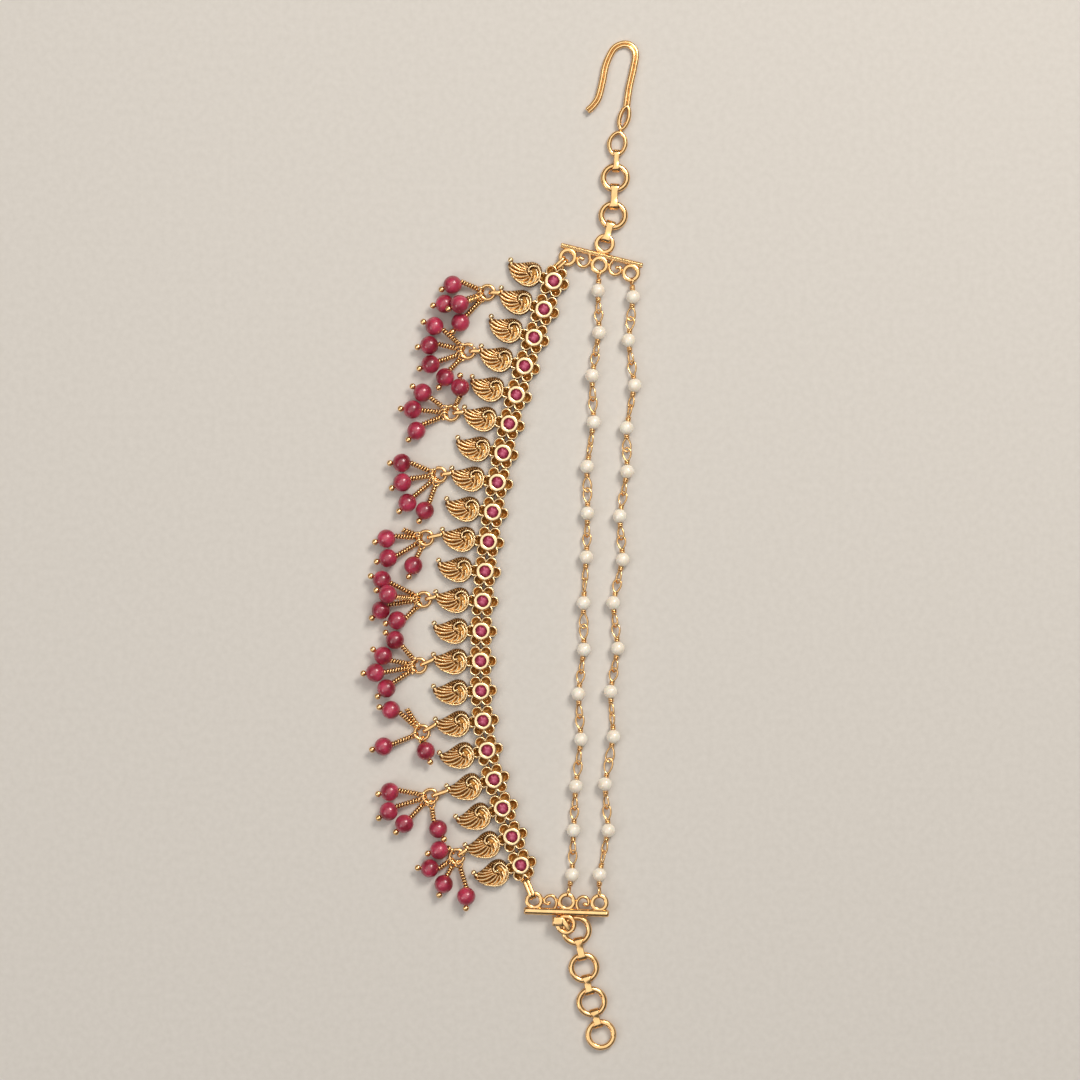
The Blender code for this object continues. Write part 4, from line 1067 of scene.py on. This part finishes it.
def build_strands():
    mean = (BAR_RING_DIAMETER + BAR_RING_BORE) / 4
    for index, name in enumerate(PEARL_STRANDS):
        top, pearls, bottom = pearl_places(index, name)
        wires = Shape()
        beads = Shape()
        first = top + level_way(top, pearls[0]) * (mean + 0.1)
        last = bottom + level_way(bottom, pearls[-1]) * (mean + 0.1)
        joints = [first] + [(a + b) / 2 for a, b in zip(pearls, pearls[1:])] + [last]
        for joint in joints[1:-1]:
            joint[2] = STRAND_JOINT_LEVEL
        for k, pearl in enumerate(pearls):
            axis = unit(joints[k + 1] - joints[k])
            beads.ball(pearl, PEARL_DIAMETER / 2, around=32, rows=20, axis=axis)
            tilt = STRAND_EYE_TILTS[(k + 4 * index) % len(STRAND_EYE_TILTS)]
            above = STRAND_END_TILT if k == 0 else tilt
            below = STRAND_END_TILT if k == len(pearls) - 1 else tilt - STRAND_EYE_SKEW
            add_strand_eye(wires, pearl, joints[k], math.radians(above))
            add_strand_eye(wires, pearl, joints[k + 1], math.radians(below))
        place_shape(f"pearls_{name}", beads, "pearl", [f"pearl_strand_{name}"])
        place_shape(f"strand_wire_{name}", wires, "polished_gold")


# Bars


def rounded_bar(shape, half, radius, offset, milled):
    """Rod with softened ends; a milled one has slanting ribs, a smooth one a groove along its top."""
    count = 240 if milled else 60
    along = np.linspace(-half, half, count)
    end = np.clip((half - np.abs(along)) / (0.5 * radius), 0, 1)
    scale = 0.7 + 0.3 * np.sqrt(1 - (1 - end) ** 2)
    path = np.column_stack([along, np.full(count, offset), np.zeros(count)])
    angles = np.arange(48) * 2 * math.pi / 48
    if milled:
        size = radius * (0.94 + 0.06 * np.cos(RIB_COUNT * angles))
        turns = RIB_TURNS
    else:
        size = radius * (1 - 0.09 * np.exp(-(((angles - math.radians(101)) / 0.1) ** 2)))
        turns = 0.0
    section = np.stack([size * np.cos(angles), size * np.sin(angles)], 1)
    shape.sweep(path, section, normal=Z, scale=scale, turns=turns)


def chain_ring_offset(bar_diameter):
    """How far the chain's ring lies from the middle of the bar's washers."""
    return bar_diameter + (BAR_RING_DIAMETER + CHAIN_RING_DIAMETER) / 2 - 2 * RING_OVERLAP


def washer(shape, centre, outer, inner):
    """Cast ring with a softly rounded section."""
    half = WASHER_THICKNESS / 2
    width = (outer - inner) / 4
    corners = circle(1.0, 20, math.pi / 20)
    section = np.sign(corners) * np.abs(corners) ** 0.8 * (width, half)
    shape.sweep(ring_path(centre, (outer + inner) / 4, 40), section, closed=True, normal=Z)


def scroll(shape, direction, side, offset):
    """C-shaped scroll whose free end curls inwards to a small ball."""
    start = BAR_RING_DIAMETER / 2 + 0.25
    width = BAR_RING_PITCH - 2 * start
    path = []
    for u, v in SCROLL_ROUTE:
        path.append(vec(direction * (start + u * width), side * (offset - v * SCROLL_HEIGHT)))
    shape.tube(smooth_path(path, 6), SCROLL_WIRE / 2, 10, normal=Z)
    shape.ball(path[-1], 0.36, around=12, rows=8)


def build_bars():
    rows = (
        ("top", TOP_BAR, TOP_BAR_DIAMETER, 1, True, 0.04),
        ("bottom", BOTTOM_BAR, BOTTOM_BAR_DIAMETER, -1, False, 0.13),
    )
    for name, matrix, diameter, side, milled, swell in rows:
        shape = Shape()
        offset = diameter / 2 + BAR_RING_DIAMETER / 2 - RING_OVERLAP
        half = (BAR_LENGTH + swell) / 2
        rounded_bar(shape, half, diameter / 2 + swell, side * (offset - swell / 2), milled)
        for k in (-1, 0, 1):
            washer(shape, vec(k * BAR_RING_PITCH, 0), BAR_RING_DIAMETER + BAR_WASHER_EXTRA, BAR_RING_BORE)
        outer = CHAIN_RING_DIAMETER + CHAIN_WASHER_EXTRA
        washer(shape, vec(0, side * chain_ring_offset(diameter)), outer, CHAIN_RING_BORE)
        for direction in (-1, 1):
            scroll(shape, direction, side, offset - diameter / 2)
        shape.points = [tuple(matrix @ Vector(point)) for point in shape.points]
        place_shape(f"bar_{name}", shape, "polished_gold", [f"spacer_bar_{name}"])


# Chains


def ring_reach(bore, wire, width):
    """How far beyond a ring's wire a flat link's inside lies, in the round hole."""
    return wire / 2 + bore / 2 * (1 - math.sqrt(1 - (width / bore) ** 2)) + LINK_END_CLEARANCE


def chain_places(start, start_radius, rows, diameter):
    mean = (diameter - RING_WIRE) / 2
    centres = []
    joints = []
    centre = start
    radius = start_radius
    for turn, gap in rows:
        way = bearing(turn)
        joints.append((centre + way * radius, centre + way * (radius + gap)))
        centre = centre + way * (radius + gap + mean)
        radius = mean
        centres.append(centre)
    return centres, joints


def link_path(low, high, low_reach, high_reach, inner, wall, steps=10):
    """Upright long loop through two wires, as points, with the direction it points in."""
    way = unit(high - low)
    up = Z - way * (Z @ way)
    up /= np.linalg.norm(up)
    start = low + way * (inner - low_reach)
    end = high - way * (inner - high_reach)
    radius = inner + wall
    path = []
    for centre, first in ((end, -90.0), (start, 90.0)):
        for angle in np.radians(np.linspace(first, first + 180, steps + 1)):
            path.append(centre + radius * (math.cos(angle) * way + math.sin(angle) * up))
    return evenly(np.array(path), 72, True), np.cross(way, up)


def add_band(shape, low, high, low_reach, high_reach, width):
    """Folded strip with lips at both ends and a dished, narrower middle."""
    inner = RING_WIRE / 2 + LINK_CLEARANCE
    path, side = link_path(low, high, low_reach, high_reach, inner, BAND_THICKNESS / 2)
    way = unit(high - low)
    along = (path - (low + high) / 2) @ way
    share = along / np.abs(along).max()
    rise = (path - (low + high) / 2) @ np.cross(side, way)
    dip = BAND_DIP * np.clip(1 - (share / 0.55) ** 2, 0, 1) ** 2 * (np.abs(rise) > inner * 0.7)
    path = path - np.cross(side, way) * (np.sign(rise) * dip)[:, None]
    wide = BAND_WAIST + BAND_FLARE * step(np.abs(share), 0.45, 0.75)
    half = width / 2
    thick = BAND_THICKNESS / 2
    soft = BAND_EDGE
    flank = [
        (-thick + soft, half), (thick - 2 * soft, half), (thick - soft / 2, half - soft),
        (thick, half - 3 * soft),
    ]
    section = [(x, -y) for x, y in flank] + flank[::-1] + [(-thick, half - soft), (-thick, -half + soft)]
    shape.sweep(path, section, closed=True, normal=side, wide=wide)


def add_round_ring(shape, centre, diameter, turn, groove):
    """Wire ring with a soldered joint, its wire a little uneven, and grooved if asked."""
    angles = np.radians(turn + np.arange(72) * 5.0)
    radius = (diameter - VISIBLE_RING_WIRE) / 2
    path = arc_path(centre, radius, angles)
    along = np.arange(72) / 72
    scale = 1 - 0.05 * np.exp(-((np.minimum(along, 1 - along) / 0.012) ** 2))
    scale *= 0.99 + 0.01 * np.sin(along * 12 * math.pi)
    corners = np.arange(16) * 2 * math.pi / 16
    size = VISIBLE_RING_WIRE / 2 * (1 - groove * np.exp(-(((np.sin(corners) - 1) / 0.03) ** 2)))
    section = np.stack([size * np.cos(corners), size * np.sin(corners)], 1)
    shape.sweep(path, section, closed=True, normal=Z, scale=scale)


def build_chain(node_ring, node_link, centres, diameter, bands, groove_last=False):
    for index, centre in enumerate(centres):
        shape = Shape()
        groove = LAST_RING_GROOVE if groove_last and index == len(centres) - 1 else 0.0
        add_round_ring(shape, centre, diameter, 70 + 95 * index, groove)
        node = f"{node_ring}_{index + 1}"
        place_shape(f"wire_{node}", shape, "polished_gold", [node])
    for index, band in enumerate(bands):
        shape = Shape()
        add_band(shape, *band)
        node = f"{node_link}_{index + 1}"
        place_shape(f"strip_{node}", shape, "polished_gold", [node])


def build_top_chain():
    mean = (CHAIN_RING_DIAMETER + CHAIN_RING_BORE) / 4
    start = np.array(TOP_BAR @ Vector((0, chain_ring_offset(TOP_BAR_DIAMETER), 0)))
    centres, joints = chain_places(start, mean, TOP_CHAIN, RING_DIAMETER)
    reach = ring_reach(RING_DIAMETER - 2 * RING_WIRE, RING_WIRE, BAND_WIDTH)
    bar_reach = ring_reach(CHAIN_RING_BORE, (CHAIN_RING_DIAMETER - CHAIN_RING_BORE) / 2, BAND_WIDTH)
    hole = (HOOK_LOOP[0] - 2 * HOOK_EYE_WIRE, HOOK_LOOP[1] - 2 * HOOK_EYE_WIRE)
    dip = hole[0] / 2 * (1 - math.sqrt(1 - (SOLID_HOOK_LINK_WIDTH / hole[1]) ** 2))
    loop = HOOK_EYE_WIRE / 2 + dip + LINK_END_CLEARANCE
    bands = [
        (*joints[0], bar_reach, reach, BAND_WIDTH),
        (*joints[1], reach, reach, BAND_WIDTH),
        (*joints[2], reach, loop, HOOK_LINK_WIDTH),
    ]
    build_chain("top_ring", "top_band_link", centres[:-1], RING_DIAMETER + TOP_RING_EXTRA, bands)
    return joints[-1][1] + bearing(TOP_CHAIN[-1][0]) * (HOOK_LOOP[0] - HOOK_EYE_WIRE) / 2


def build_end_chain():
    washer_mean = (CHAIN_RING_DIAMETER + CHAIN_RING_BORE) / 4
    start = np.array(BOTTOM_BAR @ Vector((0, -chain_ring_offset(BOTTOM_BAR_DIAMETER), 0)))
    way = bearing(END_CHAIN_START)
    under = start - way * 0.2
    under[2] = TOP_LEVEL
    mean = (END_RING_DIAMETER - RING_WIRE) / 2
    centres, joints = chain_places(under + way * mean, mean, END_CHAIN, END_RING_DIAMETER)
    reach = ring_reach(END_RING_DIAMETER - 2 * RING_WIRE, RING_WIRE, BAND_WIDTH)
    bridge = (
        start - way * washer_mean,
        under,
        (CHAIN_RING_DIAMETER - CHAIN_RING_BORE) / 4 + LINK_CLEARANCE,
        RING_WIRE / 2 + LINK_CLEARANCE,
        BRIDGE_WIDTH,
    )
    bands = [bridge] + [(*joint, reach, reach, BAND_WIDTH) for joint in joints]
    add_bridge_cuff(start)
    places = [under + way * mean] + centres
    build_chain("end_ring", "end_band_link", places, END_RING_DIAMETER + END_RING_EXTRA, bands, True)


def add_bridge_cuff(washer_centre):
    """Plate folded over the washer's wire, and the tongue that leads from it through the hole."""
    cuff = Shape()
    middle = washer_centre * (1, 1, 0)
    centre = middle + CUFF_PLACE
    bend = [centre + vec(along, -0.05 * along, height) for along, height in CUFF_PROFILE]
    section = CUFF_EDGE + [(0.14, 0.0)] + [(x, -y) for x, y in CUFF_EDGE[::-1]]
    cuff.sweep(evenly(smooth_path(bend, 4), 36), section, normal=vec(0, 1))
    corners = circle(1.0, 20, math.pi / 20)
    softened = np.sign(corners) * np.abs(corners) ** 0.7 * (0.46, 0.26)
    cuff.sweep(smooth_path([middle + place for place in TONGUE_ROUTE], 6), softened, normal=Z)
    place_shape("bridge_cuff", cuff, "polished_gold")


def leaf_path(centre, length, width, degrees, count=48):
    """Closed pointed oval."""
    along = bearing(degrees)
    across = np.cross(Z, along)
    path = []
    for angle in np.arange(count) * 2 * math.pi / count:
        pinch = abs(math.sin(angle)) ** 1.25
        side = math.copysign(pinch, math.sin(angle)) * width / 2
        path.append(centre + along * math.cos(angle) * length / 2 + across * side)
    return np.array(path)


def build_hook(loop_centre):
    """Hook of two wires side by side, which part into a leaf-shaped eye above a second loop."""
    shape = Shape()
    along = bearing(HOOK_LOOP_BEARING)
    eye_centre = loop_centre + along * ((HOOK_LOOP[0] + HOOK_EYE[0]) / 2 - 0.18)
    shank = eye_centre + bearing(HOOK_BEARING) * (HOOK_EYE[0] / 2 - 0.3)
    slope = Matrix.Translation(Vector(shank)) @ Matrix.Rotation(math.radians(HOOK_SLOPE), 4, "X")
    points = [vec(x * HOOK_REACH, y * HOOK_RISE) for x, y in HOOK_ROUTE]
    route = evenly(smooth_path(points, 10), 110)
    tangents = np.gradient(route, axis=0)
    tangents /= np.linalg.norm(tangents, axis=1)[:, None]
    sides = np.cross(tangents, Z)
    radius = HOOK_WIRE / 2
    for side in (-0.5, 0.5):
        path = np.array([slope @ Vector(point) for point in route + sides * side * HOOK_WIRES_APART])
        shape.tube(path, radius, 14, normal=Z)
        shape.ball(path[0], radius, around=14, rows=10)
        shape.ball(path[-1], radius, around=14, rows=10)
    for centre, (length, width), degrees in (
        (eye_centre, HOOK_EYE, HOOK_LOOP_BEARING),
        (loop_centre, HOOK_LOOP, HOOK_LOOP_BEARING + 5),
    ):
        wire = HOOK_EYE_WIRE + HOOK_EYE_WIRE_EXTRA
        path = leaf_path(centre, length - wire, width - wire, degrees)
        swell = 1 - 0.12 * np.abs(np.cos(np.linspace(0, 2 * math.pi, len(path), endpoint=False)))
        shape.tube(path, wire / 2 * swell, 14, closed=True, normal=Z)
    place_shape("doubled_hook", shape, "polished_gold", ["ear_hook"])


def build_strip_links():
    """Doubled wire loops from the bars to the ends of the strip, and the staples they hold."""
    rows = (
        ("strip_link_top", TOP_BAR, STRIP[0], 1),
        ("strip_link_bottom", BOTTOM_BAR, STRIP[-1], -1),
    )
    for node, bar, (place, direction), side in rows:
        matrix = motif_matrix(vec(*place[:2]), direction)
        crossbar = np.array(matrix @ Vector((0, side * STAPLE_SEAT[1], STAPLE_SEAT[2])))
        ring = bar_ring_place(bar, 0)
        way = level_way(crossbar, ring)
        seat = ring - way * (BAR_RING_DIAMETER + BAR_RING_BORE) / 4
        outward = -side * direction
        skew = np.linalg.norm(np.cross(way, outward))
        reach = ring_reach(BAR_RING_BORE, (BAR_RING_DIAMETER - BAR_RING_BORE) / 2, STRIP_LINK_WIDTH)
        hold = (STAPLE_WIRE + STRIP_LINK_WIDTH * skew) / (2 * (way @ outward)) + LINK_CLEARANCE
        inner = math.hypot((BAR_RING_DIAMETER - BAR_RING_BORE) / 2, 0.6) / 2 + LINK_CLEARANCE
        shape = Shape()
        path, across = link_path(seat, crossbar, reach, hold, inner, 0.13)
        for side_of in (-0.5, 0.5):
            wire = path + across * side_of * STRIP_LINK_WIRES_APART
            shape.sweep(wire, circle(1.0, 12) * (0.15, 0.32), closed=True, normal=across)
        place_shape(f"loop_{node}", shape, "polished_gold", [node])
        staple = Shape()
        tip = side * STAPLE_SEAT[1]
        leg = [(STAPLE_HALF_WIDTH, side * STAPLE_ROOT), (STAPLE_HALF_WIDTH, tip - side * STAPLE_CORNER)]
        leg.append((0.6, tip))
        corners = [vec(-x, y) for x, y in leg] + [vec(x, y) for x, y in leg[::-1]]
        bend = smooth_path([corner + Z * STAPLE_SEAT[2] for corner in corners], 5)
        # A slight painted shade on the staple
        staple.tube(bend, STAPLE_VISIBLE_WIRE / 2, 8, normal=Z, value=0.1)
        place_shape(f"staple_{node}", staple, "antique_gold", (), matrix)


def build_stage():
    bpy.ops.mesh.primitive_plane_add(size=3.0, location=(0, 0, -0.00001))
    floor = bpy.context.object
    floor.name = "floor"
    floor.data.materials.append(floor_paper())


def build_lights():
    world = bpy.data.worlds.new("studio")
    bpy.context.scene.world = world
    world.use_nodes = True
    background = world.node_tree.nodes["Background"]
    background.inputs["Color"].default_value = (0.95, 0.97, 1.0, 1.0)
    background.inputs["Strength"].default_value = 0.1
    for name, place, side, power, colour in LIGHTS:
        data = bpy.data.lights.new(name, "AREA")
        data.shape = "SQUARE"
        data.size = side
        data.energy = power
        data.color = colour
        light = bpy.data.objects.new(name, data)
        bpy.context.scene.collection.objects.link(light)
        light.location = place
        light.rotation_euler = (-Vector(place)).to_track_quat("-Z", "Y").to_euler()


def build_camera():
    data = bpy.data.cameras.new("camera")
    data.lens = CAMERA_LENS_MM
    data.sensor_width = CAMERA_SENSOR_MM
    data.clip_start = 0.01
    camera = bpy.data.objects.new("camera", data)
    bpy.context.scene.collection.objects.link(camera)
    width = PHOTO_WIDTH_PX / PX_PER_MM / METRE
    x = (VIEW_CENTRE_PX[0] - OBJECT_CENTRE_PX[0]) / PX_PER_MM / METRE
    y = (OBJECT_CENTRE_PX[1] - VIEW_CENTRE_PX[1]) / PX_PER_MM / METRE
    camera.location = (x, y, width * CAMERA_LENS_MM / CAMERA_SENSOR_MM)
    bpy.context.scene.camera = camera
    bpy.context.scene.view_settings.view_transform = "Standard"


def main():
    build_camera()
    build_stage()
    build_lights()
    build_motifs()
    build_hinges()
    build_clusters()
    build_strands()
    build_bars()
    build_strip_links()
    build_end_chain()
    build_hook(build_top_chain())


main()
